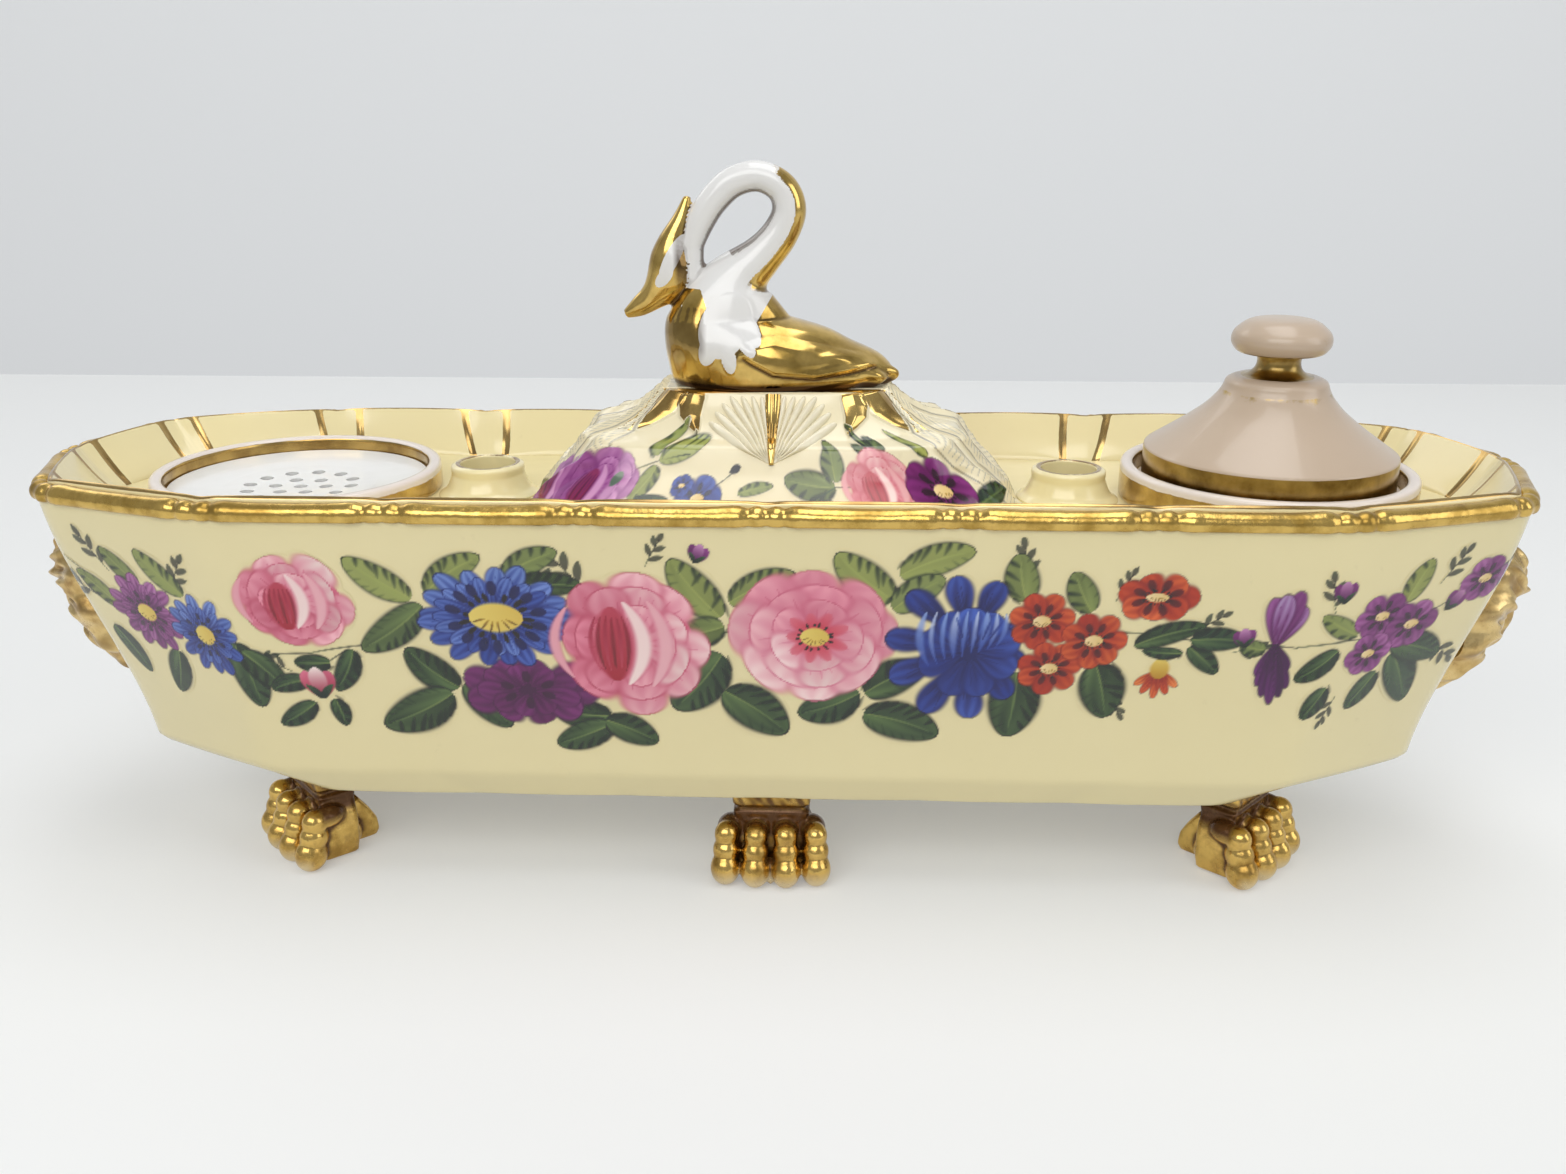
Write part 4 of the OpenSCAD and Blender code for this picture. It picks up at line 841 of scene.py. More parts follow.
# --------------------------------------------------------------
# Fluted flange: the border between the rim and the deck, pressed into broad convex flutes, one
# to a panel, with a narrow strip at each corner. Its crest stands a little over the moulding and
# is lined with gold, and a gold stripe is drawn down every groove.
DECK_Z, DECK_THICKNESS, FLANGE_WIDTH = 74.75, 3.0, 7.6
GROOVE_TOP, GROOVE_FOOT, FLUTE_SWELL = 4.9, 3.8, 1.1
CREST_Z, CREST_WIDTH = 84.2, 0.8
DECK_INSET = SEAT + FLANGE_WIDTH
END_INSET = DECK_INSET * 0.72
LINE_HALF_WIDTH = 0.95
deck_knots = tray_knots(KNOT_PITCH - DECK_INSET * 0.33 / SIDE_KNOTS, RIM_HALF_DEPTH - DECK_INSET,
                        CORNER_RUN - END_INSET, CORNER_HALF_DEPTH - END_INSET,
                        TIP_RUN - END_INSET)
deck_line = outline(deck_knots, LOBE)


def worn_paint(name, colour, shade, roughness=0.2, gold=(0.60, 0.41, 0.13),
               dull=(0.27, 0.155, 0.05), broken=0.5):
    """Glaze with gold over it where the mesh's 'gilt' says so, rubbed through at its edges."""
    material = glaze(name, colour, shade, roughness)
    nodes, links = material.node_tree.nodes, material.node_tree.links
    surface = nodes["Principled BSDF"]
    under = surface.inputs["Base Color"].links[0].from_socket
    rubbed = sums(nodes, links, "MULTIPLY_ADD", clouds(nodes, links, 300, 5, 0.65), broken,
                  marked(nodes, "gilt"))
    share = ramp(nodes, links, rubbed,
                 [(0.5 + broken * 0.42, (0, 0, 0)), (0.62 + broken * 0.5, (1, 1, 1))])
    metal = ramp(nodes, links, clouds(nodes, links, 150, 4), [(0.35, dull), (0.62, gold)])
    links.new(mix(nodes, links, share, under, metal), surface.inputs["Base Color"])
    links.new(share, surface.inputs["Metallic"])
    return material


flange_paint = worn_paint("flange_paint", CREAM, CREAM_SHADE, 0.18, (0.55, 0.38, 0.14),
                          (0.36, 0.22, 0.07), broken=0.35)


def flange_shape():
    """Rows from the rim over the crest and down to the deck, and how gilt each point is."""
    places, distances = joint_places(0.3, 7.2, 9)
    length = np.linalg.norm(np.roll(rim_knots, -1, axis=0) - rim_knots, axis=1)
    half = length[places.astype(int) % len(rim_knots)] / 2
    outer = along_rim(grown(rim_line, -SEAT), places)
    crest = along_rim(grown(rim_line, -SEAT - CREST_WIDTH), places)
    inner = along_rim(deck_line, places)
    nip = 0.35 * np.exp(-(distances / 2.6) ** 2)
    rows, gilt = [], []
    for out, drop, gold in ((0, 0.8, 0), (0.15, 0.3, 0.7), (0.5, 0.05, 0.85)):
        rows.append(np.column_stack([outer + (crest - outer) * out, CREST_Z - drop - nip]))
        gilt.append(np.full(len(places), float(gold)))
    for v in np.linspace(0, 1, 15):
        bowed = v - 0.12 * math.sin(math.pi * v)
        groove = GROOVE_TOP + (GROOVE_FOOT - GROOVE_TOP) * bowed
        strip = 0.45 * np.clip(1 - (distances / groove) ** 2, 0, 1)
        flute = np.sin(math.pi / 2 * np.clip((distances - groove) / (half - groove), 0, 1)) ** 0.5
        swell = FLUTE_SWELL * (strip + flute - 0.22) * math.sin(math.pi * (0.02 + 0.9 * v)) ** 0.7
        down = v + 0.08 * math.sin(math.pi * v)
        z = CREST_Z + (DECK_Z - CREST_Z) * down + (swell if v < 0.99 else 0)
        rows.append(np.column_stack([crest + (inner - crest) * v, z - nip * (1 - v)]))
        stripe = np.clip(1.5 - np.abs(distances - groove) / LINE_HALF_WIDTH, 0, 1)
        gilt.append(np.maximum(stripe, 0.75 if v < 0.01 else 0))
    under = [np.column_stack([inner, np.full(len(inner), DECK_Z - DECK_THICKNESS)]),
             np.column_stack([outer, np.full(len(outer), WALL_TOP_Z - 1.2)])]
    return rows + under + [rows[0]], gilt + [gilt[0] * 0] * 3


flange_rows, flange_gilt = flange_shape()
flange = piece("flange_fluted", loft(flange_rows[::-1], caps=False), flange_paint, "stand",
               ["fluted_flange"], crease=55)
keep_layer(flange, "gilt", np.concatenate(flange_gilt[::-1]))

# --------------------------------------------------------------
# Deck and compartment: the flat shelf that carries the pots, and the box for wafers or wax under
# the middle cover. Both are cast with the tray and glazed with it; the box is left white.
WHITE, WHITE_SHADE = (0.88, 0.86, 0.82), (0.82, 0.80, 0.76)
white_glaze = glaze("white_glaze", WHITE, WHITE_SHADE, 0.14)
for node, finish in (("deck_left", cream_glaze), ("deck_middle", cream_glaze),
                     ("deck_right", cream_glaze), ("compartment", white_glaze)):
    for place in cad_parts[node].material_slots:
        place.material = finish

# --------------------------------------------------------------
# Quill holes: on each side of the cover a squat thrown cone with a soft lip and a hole right
# through it, luted on the deck and glazed with it. A trace of brown gold is left on each lip.
QUILL_X, QUILL_R, QUILL_LIP_R, QUILL_FOOT_R, QUILL_HEIGHT = 60.4, 5.6, 7.6, 10.4, 6.5


def turned_piece(name, line, at_x, material, body, node, gilt, segments=128, crease=50):
    """A piece turned round a vertical axis from (radius, z) points, and how gilt each one is."""
    turns = np.linspace(0, 2 * math.pi, segments, endpoint=False)
    rings = [np.column_stack([at_x + r * np.cos(turns), r * np.sin(turns),
                              np.full(segments, float(z))]) for r, z in line]
    thing = piece(name, loft(rings, caps=False), material, body, [node], crease)
    keep_layer(thing, "gilt", np.repeat([gilt(r, z) for r, z in line], segments))


def rounded(corners, radius):
    """A (radius, z) line with its inner corners eased; a corner may bring its own radius."""
    line = [np.array(corners[0][:2], float)]
    for before, here, after in zip(corners, corners[1:], corners[2:]):
        r = here[2] if len(here) > 2 else radius
        a, b, c = (np.array(p[:2], float) for p in (before, here, after))
        into, away = (a - b) / np.linalg.norm(a - b), (c - b) / np.linalg.norm(c - b)
        r = min(r, np.linalg.norm(a - b) * 0.49, np.linalg.norm(c - b) * 0.49)
        for t in np.linspace(0, 1, 5):
            p, q = b + into * r * (1 - t), b + away * r * t
            line.append(p + (q - p) * t)
    line.append(np.array(corners[-1][:2], float))
    return line


cone_paint = worn_paint("cone_paint", CREAM, CREAM_SHADE, 0.16, (0.42, 0.28, 0.11),
                        (0.30, 0.17, 0.07), broken=0.9)
cone_line = rounded([
    (QUILL_R, DECK_Z), (QUILL_R, DECK_Z + QUILL_HEIGHT, 0.7), (6.6, DECK_Z + QUILL_HEIGHT, 0.3),
    (QUILL_LIP_R, DECK_Z + 6.1, 0.6), (QUILL_LIP_R, DECK_Z + 5.1, 0.6), (7.5, DECK_Z + 4.4, 0.8),
    (8.0, DECK_Z + 2.9, 1.2), (8.8, DECK_Z + 1.3, 1.2), (QUILL_FOOT_R, DECK_Z + 0.25, 0.4),
    (QUILL_FOOT_R, DECK_Z), (QUILL_R, DECK_Z)], 0.05)[::-1]
for across, side in (("left", -1), ("right", 1)):
    turned_piece(f"quill_cone_{across}_glazed", cone_line, side * QUILL_X, cone_paint, "stand",
                 f"quill_cone_{across}",
                 lambda r, z: 0.55 if z > DECK_Z + 6.3 and r < 6.7 else 0.0, 64, 38)

# --------------------------------------------------------------
# Pots: two thrown cups that hang by their collars in the deck, the ink pot on the right and the
# pounce pot on the left. The collar is gilt inside and out, and worn white along its round edge.
POT_X, POT_R, POT_FOOT_Z, POT_WALL = 100.7, 26.2, 37.75, 2.6
COLLAR_R, RECESS_R, LEDGE_DROP, BORE_R = 29.3, 26.6, 4.0, 23.6
pot_paint = worn_paint("pot_paint", (0.86, 0.78, 0.72), (0.76, 0.66, 0.58), 0.22,
                       (0.62, 0.43, 0.14), (0.34, 0.21, 0.06), broken=0.7)
for name, side, top in (("ink_pot", 1, 81.95), ("pounce_pot", -1, 80.05)):
    line = rounded([
        (0.02, POT_FOOT_Z), (POT_R, POT_FOOT_Z, 2.4), (POT_R, DECK_Z, 0.3),
        (COLLAR_R, DECK_Z, 0.6), (COLLAR_R, top - 3.4, 0.1), (COLLAR_R, top - 2.2, 0.1),
        (COLLAR_R, top, 1.34), (RECESS_R, top, 1.34), (RECESS_R, top - 2.4, 0.1),
        (RECESS_R, top - LEDGE_DROP, 0.3), (BORE_R, top - LEDGE_DROP, 0.5),
        (BORE_R, POT_FOOT_Z + POT_WALL, 4.0), (0.02, POT_FOOT_Z + POT_WALL)], 0.3)
    turned_piece(name + "_cup", line, side * POT_X, pot_paint, name, name,
                 lambda r, z: float((r > 28 and 75 < z < top - 1.9) or (
                     RECESS_R - 0.3 < r < 27.2 and top - LEDGE_DROP < z < top - 0.6)))

# --------------------------------------------------------------
# Pounce strainer: a shallow white dish pierced with rings of small holes, through which the
# powder is shaken and poured back. It lies loose on the ledge inside its pot.
strainer_white = glaze("strainer_white", (0.93, 0.93, 0.91), (0.90, 0.90, 0.88), 0.2)
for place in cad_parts["pounce_strainer"].material_slots:
    place.material = strainer_white

# --------------------------------------------------------------
# Lid of the ink pot: a turned cone on an upright band, with a shouldered collar and a mushroom
# knob. It was gilt all over; the band and the stem keep the gold, the rest is worn to the body.
LID_R, LID_FOOT_Z, LID_EDGE_Z, LID_THICKNESS = 24.9, 77.95, 85.55, 2.6
lid_paint = worn_paint("lid_paint", (0.60, 0.48, 0.37), (0.50, 0.38, 0.27), 0.3,
                       (0.50, 0.34, 0.10), (0.22, 0.135, 0.03), broken=0.8)
lid_line = rounded([
    (LID_R - LID_THICKNESS, LID_FOOT_Z), (LID_R, LID_FOOT_Z, 0.3), (LID_R, LID_EDGE_Z, 0.45),
    (21.4, 87.9, 2.0), (17.0, 91.0, 3), (13.2, 94.1, 3), (11.0, 96.8, 2), (10.2, 98.4, 0.5),
    (9.9, 99.6, 0.6), (8.4, 100.4, 0.9), (6.0, 100.7, 0.7), (4.5, 101.9, 1.1), (4.1, 103.5, 0.9),
    (4.6, 105.1, 0.4), (0.02, 105.1)], 0.4)
lid_under = rounded([(0.02, 96.1), (7.0, 95.9, 1), (14.6, 88.7, 3), (22.3, 83.0, 2),
                     (LID_R - LID_THICKNESS, LID_FOOT_Z)], 1.0)
knob_line = rounded([
    (0.02, 104.8), (5.0, 104.8, 0.5), (8.4, 105.2, 0.8), (9.8, 107.0, 1.6), (9.5, 109.2, 1.9),
    (6.8, 111.6, 2.5), (3.5, 112.1, 1.5), (0.02, 112.15)], 0.4)


def lid_gilt(r, z):
    if z < LID_EDGE_Z - 0.25 and r > 24:
        return 1.0
    if 100.6 < z < 105.2 and r < 6.2:
        return 0.95
    if 97.6 < z <= 100.6:
        return 0.2
    return 0.16 + 0.3 * max(0.0, (z - 92) / 5.6) ** 2


turned_piece("lid_turned", lid_under + lid_line, POT_X, lid_paint, "ink_lid",
             "ink_lid", lid_gilt)
turned_piece("lid_mushroom", knob_line, POT_X, lid_paint, "ink_lid", "lid_knob",
             lambda r, z: 0.75 if z < 105.4 else 0.3)

# --------------------------------------------------------------
# Middle cover: a bell-shaped mound cast in one with its relief. Two pairs of gilt leaves hang
# from its top, and a ruffled leaf runs down each corner. The sides between are painted.
COVER_HALF_LENGTH, COVER_HALF_DEPTH, COVER_HEIGHT = 48.4, 26.6, 23.6
TOP_HALF_LENGTH, TOP_HALF_DEPTH = 21.5, 12.0
COVER_TOP_Z = DECK_Z + COVER_HEIGHT
WELL_HALF_LENGTH, WELL_HALF_DEPTH, LIP_GAP, LIP_HEIGHT = 38.0, 18.5, 0.35, 3.4


def squared_oval(angle, half_length, half_depth, squareness=4.0):
    """Ring of a rounded rectangle, its angles counted from the middle of the front."""
    c, s = np.sin(angle), -np.cos(angle)
    r = (np.abs(c) ** squareness + np.abs(s) ** squareness) ** (-1 / squareness)
    return np.stack([half_length * c * r, half_depth * s * r], axis=-1)


cover_angles = np.linspace(-math.pi, math.pi, 2401)
cover_steps = np.linalg.norm(np.diff(squared_oval(cover_angles, COVER_HALF_LENGTH,
                                                  COVER_HALF_DEPTH), axis=0), axis=1)
cover_reach = np.concatenate([[0], np.cumsum(cover_steps)])
cover_reach -= cover_reach[-1] / 2
COVER_AROUND = cover_reach[-1]
profile_h = np.linspace(0, 1, 101)
profile_in = np.where(profile_h < 0.4, 0.28 * (profile_h / 0.4) ** 1.4,
                      np.where(profile_h < 0.64, 0.28 + (profile_h - 0.4) / 0.24 * 0.14,
                               0.42 + 0.58 * (np.maximum(profile_h - 0.64, 0) / 0.36) ** 0.5))
for _ in range(6):
    profile_in[1:-1] = (profile_in[:-2] + 2 * profile_in[1:-1] + profile_in[2:]) / 4


def near_line(u, h, line, wide):
    """1 on a line through (h, u, share of the full width) points, falling to 0 beside it."""
    line = np.array(sorted(line))
    middle, share = np.interp(h, line[:, 0], line[:, 1]), np.interp(h, line[:, 0], line[:, 2])
    inside = (h >= line[0, 0]) & (h <= line[-1, 0])
    return inside * np.clip(1 - np.abs(u - middle) / np.maximum(wide * share, 0.05), 0, 1)


LEAF_LINE = [(0.66, 45.4, 0.02), (0.74, 44.4, 0.5), (0.84, 44.2, 0.9), (0.93, 44.6, 1.0),
             (1.0, 44.8, 0.9)]
CRESCENT_LINE = [(0.70, 23.0, 0.02), (0.75, 26.0, 0.4), (0.82, 30.0, 0.8), (0.90, 32.6, 1.0),
                 (0.96, 33.6, 1.0), (1.0, 34.0, 0.8)]
RUFFLE_LINES = ([(0.0, 56, 1), (0.1, 54.5, 1), (0.3, 50.5, 1), (0.45, 46.5, 1), (0.6, 44.5, 1),
                 (0.85, 50.0, 0.9), (1.0, 53.0, 0.6)],
                [(0.0, 65, 0.8), (0.2, 62, 1), (0.4, 57.5, 1.1), (0.6, 55.0, 1.1), (0.8, 59, 1),
                 (1.0, 62, 0.6)])
LEAF_HALF, CRESCENT_HALF = 8.6, 5.6


def from_middle(u):
    """How far along the cover a place lies from the middle of the front or of the back."""
    around = np.abs(np.mod(u + COVER_AROUND, 2 * COVER_AROUND) - COVER_AROUND)
    return np.where(around > COVER_AROUND / 2, COVER_AROUND - around, around)


def cover_relief(u, h):
    """Height in millimetres of the relief over the plain mound."""
    folded = from_middle(u)
    leaf = near_line(folded, h, LEAF_LINE, LEAF_HALF)
    crescent = near_line(folded, h, CRESCENT_LINE, CRESCENT_HALF)
    rise = 1.3 * leaf ** 0.6 + 1.2 * crescent ** 0.55
    for line in RUFFLE_LINES:
        ridge = near_line(folded, h, line, 4.6)
        rise = np.maximum(rise, 1.4 * ridge ** 1.2 + 0.10 * ridge * np.sin(h * 60 + folded))
    return rise * np.clip((1.0 - h) / 0.02, 0.3, 1)


def cover_gilt(u, h):
    folded = from_middle(u)
    return np.clip(3 * np.maximum(near_line(folded, h, LEAF_LINE, LEAF_HALF + 0.2),
                                  near_line(folded, h, CRESCENT_LINE, CRESCENT_HALF + 0.2)), 0, 1)


def cover_plain(u, h):
    turn = np.interp(np.mod(u + COVER_AROUND, 2 * COVER_AROUND) - COVER_AROUND, cover_reach,
                     cover_angles)
    share = np.interp(h, profile_h, profile_in)
    flat = squared_oval(turn, 1.0, 1.0)
    x = flat[..., 0] * (COVER_HALF_LENGTH + (TOP_HALF_LENGTH - COVER_HALF_LENGTH) * share)
    y = flat[..., 1] * (COVER_HALF_DEPTH + (TOP_HALF_DEPTH - COVER_HALF_DEPTH) * share)
    return np.stack([x, y, DECK_Z + COVER_HEIGHT * h], axis=-1)


def on_cover(u, h, by=0.0):
    """Points on the mound with its relief, u round from the middle of the front."""
    u, h = np.broadcast_arrays(np.asarray(u, float), np.asarray(h, float))
    along = cover_plain(u + 0.2, h) - cover_plain(u - 0.2, h)
    low, high = np.clip(h - 0.01, 0, 0.99), np.clip(h + 0.01, 0.01, 1)
    out = np.cross(along, cover_plain(u, high) - cover_plain(u, low))
    out /= np.linalg.norm(out, axis=-1)[..., None]
    return cover_plain(u, h) + out * (cover_relief(u, h) + by)[..., None]


COVER_CREAM, COVER_SHADE = (0.90, 0.82, 0.58), (0.85, 0.75, 0.50)
cover_paint = worn_paint("cover_paint", COVER_CREAM, COVER_SHADE, 0.15,
                         (0.66, 0.46, 0.15), (0.36, 0.22, 0.06), broken=0.35)
levels = np.linspace(0, 1, 150)
rounds = np.linspace(-COVER_AROUND, COVER_AROUND, 900, endpoint=False)
U, H = np.meshgrid(rounds, levels)
skin_rings = list(on_cover(U, H))
turns = np.interp(rounds, cover_reach, cover_angles)
well = squared_oval(turns, WELL_HALF_LENGTH - LIP_GAP, WELL_HALF_DEPTH - LIP_GAP, 9.0)
hollow = [at_height(squared_oval(turns, COVER_HALF_LENGTH * k - 3, COVER_HALF_DEPTH * k - 2.5),
                    DECK_Z + z) for k, z in ((0.47, 20.6), (0.62, 17), (0.76, 10), (0.78, 2.4))]
lip = [at_height(well * 0.93, DECK_Z + 2.4), at_height(well * 0.93, DECK_Z - LIP_HEIGHT),
       at_height(well, DECK_Z - LIP_HEIGHT), at_height(well, DECK_Z)]
mound = piece("cover_mound", loft(hollow + lip + skin_rings), cover_paint, "cover",
              ["cover"], crease=70)
inner_count = (len(hollow) + len(lip)) * len(rounds)
keep_layer(mound, "gilt", np.concatenate([np.zeros(inner_count), cover_gilt(U, H).ravel()]))

# --------------------------------------------------------------
# Flowers of the cover: one spray on its front and one on its back, in the same enamels as on the
# wall, with grey-blue hatching along the ruffled leaves of the corners.
COVER_RISE = 26.0


def paint_cover(sheet, chance):
    tilt = math.radians
    mauve = ((0.40, 0.14, 0.38), (0.60, 0.32, 0.58), (0.86, 0.66, 0.82))
    pink = ((0.66, 0.16, 0.24), (0.86, 0.50, 0.56), (0.98, 0.88, 0.86))
    violet = ((0.28, 0.05, 0.24), (0.50, 0.16, 0.46), (0.72, 0.40, 0.66))
    for way in (-1, 1):
        for line, colour in ((RUFFLE_LINES[0], (0.42, 0.47, 0.56)),
                             (RUFFLE_LINES[1], (0.36, 0.42, 0.52))):
            line = sorted(line)
            for side in (-3.4, 3.0):
                points = [(way * (u + side), h * COVER_RISE) for h, u, _ in line[:-1]]
                for a, b in zip(points, points[1:]):
                    sheet.stroke(*a, heading(a, b), math.dist(a, b) * 1.1, 0.7, colour,
                                 (0.52, 0.42, 0.22), blunt=0.25, soft=0.7, cover=0.75)
            for h in np.arange(0.06, 0.95, 0.035):
                u = np.interp(h, [p[0] for p in line], [p[1] for p in line])
                sheet.stroke(way * (u - 2.2), h * COVER_RISE, tilt(90 - way * 62), 3.4, 0.34,
                             colour, (0.60, 0.62, 0.60), blunt=0.3, soft=0.8, cover=0.6)
    for u, v, turn, length, width, pale in (
            (-27, 14.0, 18, 10, 5.6, 0.8), (-28, 14.5, 104, 6.5, 4.4, 0.7),
            (-27, 12.6, 252, 7.5, 5.0, 0.75), (-21, 5.4, 175, 7.5, 3.4, 0.0),
            (-7, 7.4, 12, 7.5, 2.8, 0.6), (14, 8.6, 172, 11, 7.0, 0.5), (14.5, 9.8, 88, 7.6, 6.2, 0.5),
            (13, 6.0, 206, 6, 2.6, 0.2), (25, 15.6, 96, 4.6, 2.6, 0.3), (25, 15.8, 22, 4.6, 2.8, 0.3),
            (24.5, 15.6, 168, 4.0, 2.4, 0.3), (38, 14.4, 120, 5.2, 3.4, 0.9),
            (43, 4.4, 6, 10, 4.8, 0.1), (42, 2.4, -24, 8, 5, 0.1), (0, 3.6, 180, 6, 3.4, 0.0),
            (-57, 3.5, 200, 8, 5, 0.3)):
        paint_leaf(sheet, u, v, tilt(turn), length, width, chance, pale)
    paint_stem(sheet, [(-33, 11), (-27, 13.5), (-20, 15)], 0.5, LEAF_PALE)
    paint_stem(sheet, [(-13, 8), (-10.5, 10), (-8.5, 11.6)], 0.45)
    paint_stem(sheet, [(21, 9), (14, 8.8), (8, 6), (-4, 5.2)], 0.45)
    paint_rose(sheet, -49.5, 6.0, 8.4, *mauve, chance, 7, squash=0.8)
    paint_rose(sheet, -39.0, 7.6, 9.4, *mauve, chance, 7, squash=0.85)
    sheet.stroke(-35.2, 8.0, tilt(80), 3.2, 3.0, (0.36, 0.44, 0.40), (0.52, 0.58, 0.50), soft=0.4)
    blue = (BLUE_DARK, (0.20, 0.30, 0.62), (0.46, 0.58, 0.86))
    paint_small(sheet, -15.4, 6.4, 5.0, *blue, chance, 5)
    paint_small(sheet, -19.6, 8.8, 2.4, *blue, chance, 5)
    sheet.stroke(-9.6, 11.4, tilt(30), 2.8, 2.2, (0.10, 0.12, 0.20), (0.16, 0.18, 0.26), soft=0.3)
    paint_rose(sheet, 25.0, 8.6, 8.8, *pink, chance, 7, squash=0.85)
    paint_small(sheet, 37.0, 7.6, 7.4, *violet, chance, 6)


cover_enamel = glaze("cover_enamel", COVER_CREAM, COVER_SHADE, enamel=True)
for side_name, start, seed in (("front", 0.0, 3), ("back", COVER_AROUND, 23)):
    spray = PaintedSheet(-66, 66, 0.4, 25.4, PAINT_STEP)
    paint_cover(spray, np.random.default_rng(seed))
    laid_down("spray_" + side_name, spray,
              lambda u, v, start=start: on_cover(u + start, v / COVER_RISE, PAINT_PROUD),
              cover_enamel, "cover")

# --------------------------------------------------------------
# Shells: in the middle of each long side of the cover a shell of two lobes is raised, its ribs
# glazed a pearly white, with a tapering gilt bar between the lobes.
SHELL_FOOT_H, SHELL_RIBS, SHELL_START, SHELL_FAN = 0.50, 7, 7, 8.4
SHELL_RIB, SHELL_RELIEF = 14.2, 0.8
pearl_paint = worn_paint("pearl_paint", (0.91, 0.86, 0.68), (0.82, 0.74, 0.54), 0.12,
                         (0.70, 0.48, 0.15), (0.40, 0.24, 0.06), broken=0.3)


def shell_skin(start):
    """A raised sheet: sunk under the cover between its ribs, with the gilding of each point."""
    across = np.linspace(-16.5, 16.5, 280)
    up = np.linspace(SHELL_FOOT_H, 0.995, 130)
    X, H = np.meshgrid(across, up)
    foot = on_cover(0, SHELL_FOOT_H)[2]
    height = on_cover(0, 0.995)[2] - foot - 0.2
    rise = on_cover(np.zeros_like(H), H)[..., 2] - foot
    reach = np.hypot(X, rise)
    turn = np.degrees(np.arctan2(np.abs(X), rise))
    rib = (turn - SHELL_START) / SHELL_FAN
    ridge = np.cos(np.pi * (rib - np.floor(rib) - 0.5)) ** 0.7
    scallop = 0.62 + 0.38 * np.sqrt(np.clip(ridge, 0, 1))
    limit = np.minimum(SHELL_RIB,
                       height / np.maximum(np.cos(np.radians(turn)), 0.3)) * scallop
    end = np.clip((limit - reach) / 1.2, 0, 1) ** 0.5
    inside = (turn > SHELL_START) & (rib < SHELL_RIBS) & (reach > 0.6)
    lift = inside * ridge * end * np.clip(reach / 5, 0.25, 1) * (SHELL_RELIEF + 0.1)
    taper = 0.5 + 1.15 * np.clip(rise / 9, 0, 1)
    bar = np.clip(1 - (X / taper) ** 2, 0, 1) * np.clip((rise + 0.3) / 0.5, 0, 1)
    groove = 0.35 * np.exp(-(X / 0.35) ** 2) * np.clip(rise / 4, 0, 1)
    lift = np.maximum(lift, (SHELL_RELIEF + 0.15) * np.sqrt(bar) - groove * (bar > 0.1))
    u = X / np.interp(H, profile_h, 1 - profile_in * (1 - TOP_HALF_LENGTH / COVER_HALF_LENGTH))
    points = on_cover(u + start, H, -0.3)
    proud = on_cover(u + start, H, 1.0)
    points = points + (proud - points) * ((lift + (lift > 0.02) * 0.3) / 1.3)[..., None]
    return loft(points, caps=False, around=False), np.clip(bar * 3, 0, 1)


for side_name, start in (("front", 0.0), ("back", COVER_AROUND)):
    shape, bar_gilt = shell_skin(start)
    shell = piece("shell_relief_" + side_name, shape, pearl_paint, "cover",
                  ["shell_" + side_name], crease=75)
    keep_layer(shell, "gilt", bar_gilt)

# --------------------------------------------------------------
# Swan: the handle of the cover, cast in a mould and joined to it. Body and head are gilt, the
# neck and the breast are left white, and shade is painted dark brown into the hollows.
SWAN_FOOT_Z, SWAN_BODY_HEIGHT, SWAN_NECK_RISE = COVER_TOP_Z, 13.4, 30.0
SWAN_REACH, SWAN_HALF_WIDTH, SWAN_NECK_R = 22.4, 11.0, 3.0
ROUTE_POINTS, EGG_POINTS = 40, 48


def smooth_rows(rows, extra):
    """Rows with more rows between each two, on a smooth line through them all."""
    rows = np.array(rows, float)
    padded = np.vstack([rows[0], rows, rows[-1]])
    out = []
    for a, b, c, d in zip(padded, padded[1:], padded[2:], padded[3:]):
        for u in np.arange(extra + 1) / (extra + 1):
            out.append((2 * b + (c - a) * u + (2 * a - 5 * b + 4 * c - d) * u ** 2
                        + (3 * b - a - 3 * c + d) * u ** 3) / 2)
    return np.array(out + [rows[-1]])


def route_rings(rows):
    """Rings square to a route: x share, height share, heading, half sizes in and across."""
    a = np.linspace(0, 2 * math.pi, ROUTE_POINTS, endpoint=False)
    rings = []
    for x, z, heading, deep, wide in rows:
        h = math.radians(heading)
        middle = np.array([x * SWAN_REACH, 0, SWAN_FOOT_Z + SWAN_BODY_HEIGHT
                           + SWAN_NECK_RISE * z])
        inward, sideways = np.array([math.sin(h), 0, -math.cos(h)]), np.array([0, 1.0, 0])
        rings.append(middle + SWAN_NECK_R * (deep * np.cos(a)[:, None] * inward
                                             + wide * np.sin(a)[:, None] * sideways))
    return rings


def egg_ring(front, back, half, z, points=EGG_POINTS):
    a = np.linspace(0, 2 * math.pi, points, endpoint=False)
    return np.column_stack([(front + back) / 2 * SWAN_REACH
                            + (back - front) / 2 * SWAN_REACH * np.cos(a),
                            SWAN_HALF_WIDTH * half * (1 - 0.16 * np.cos(a)) * np.sin(a),
                            np.full(points, z)])


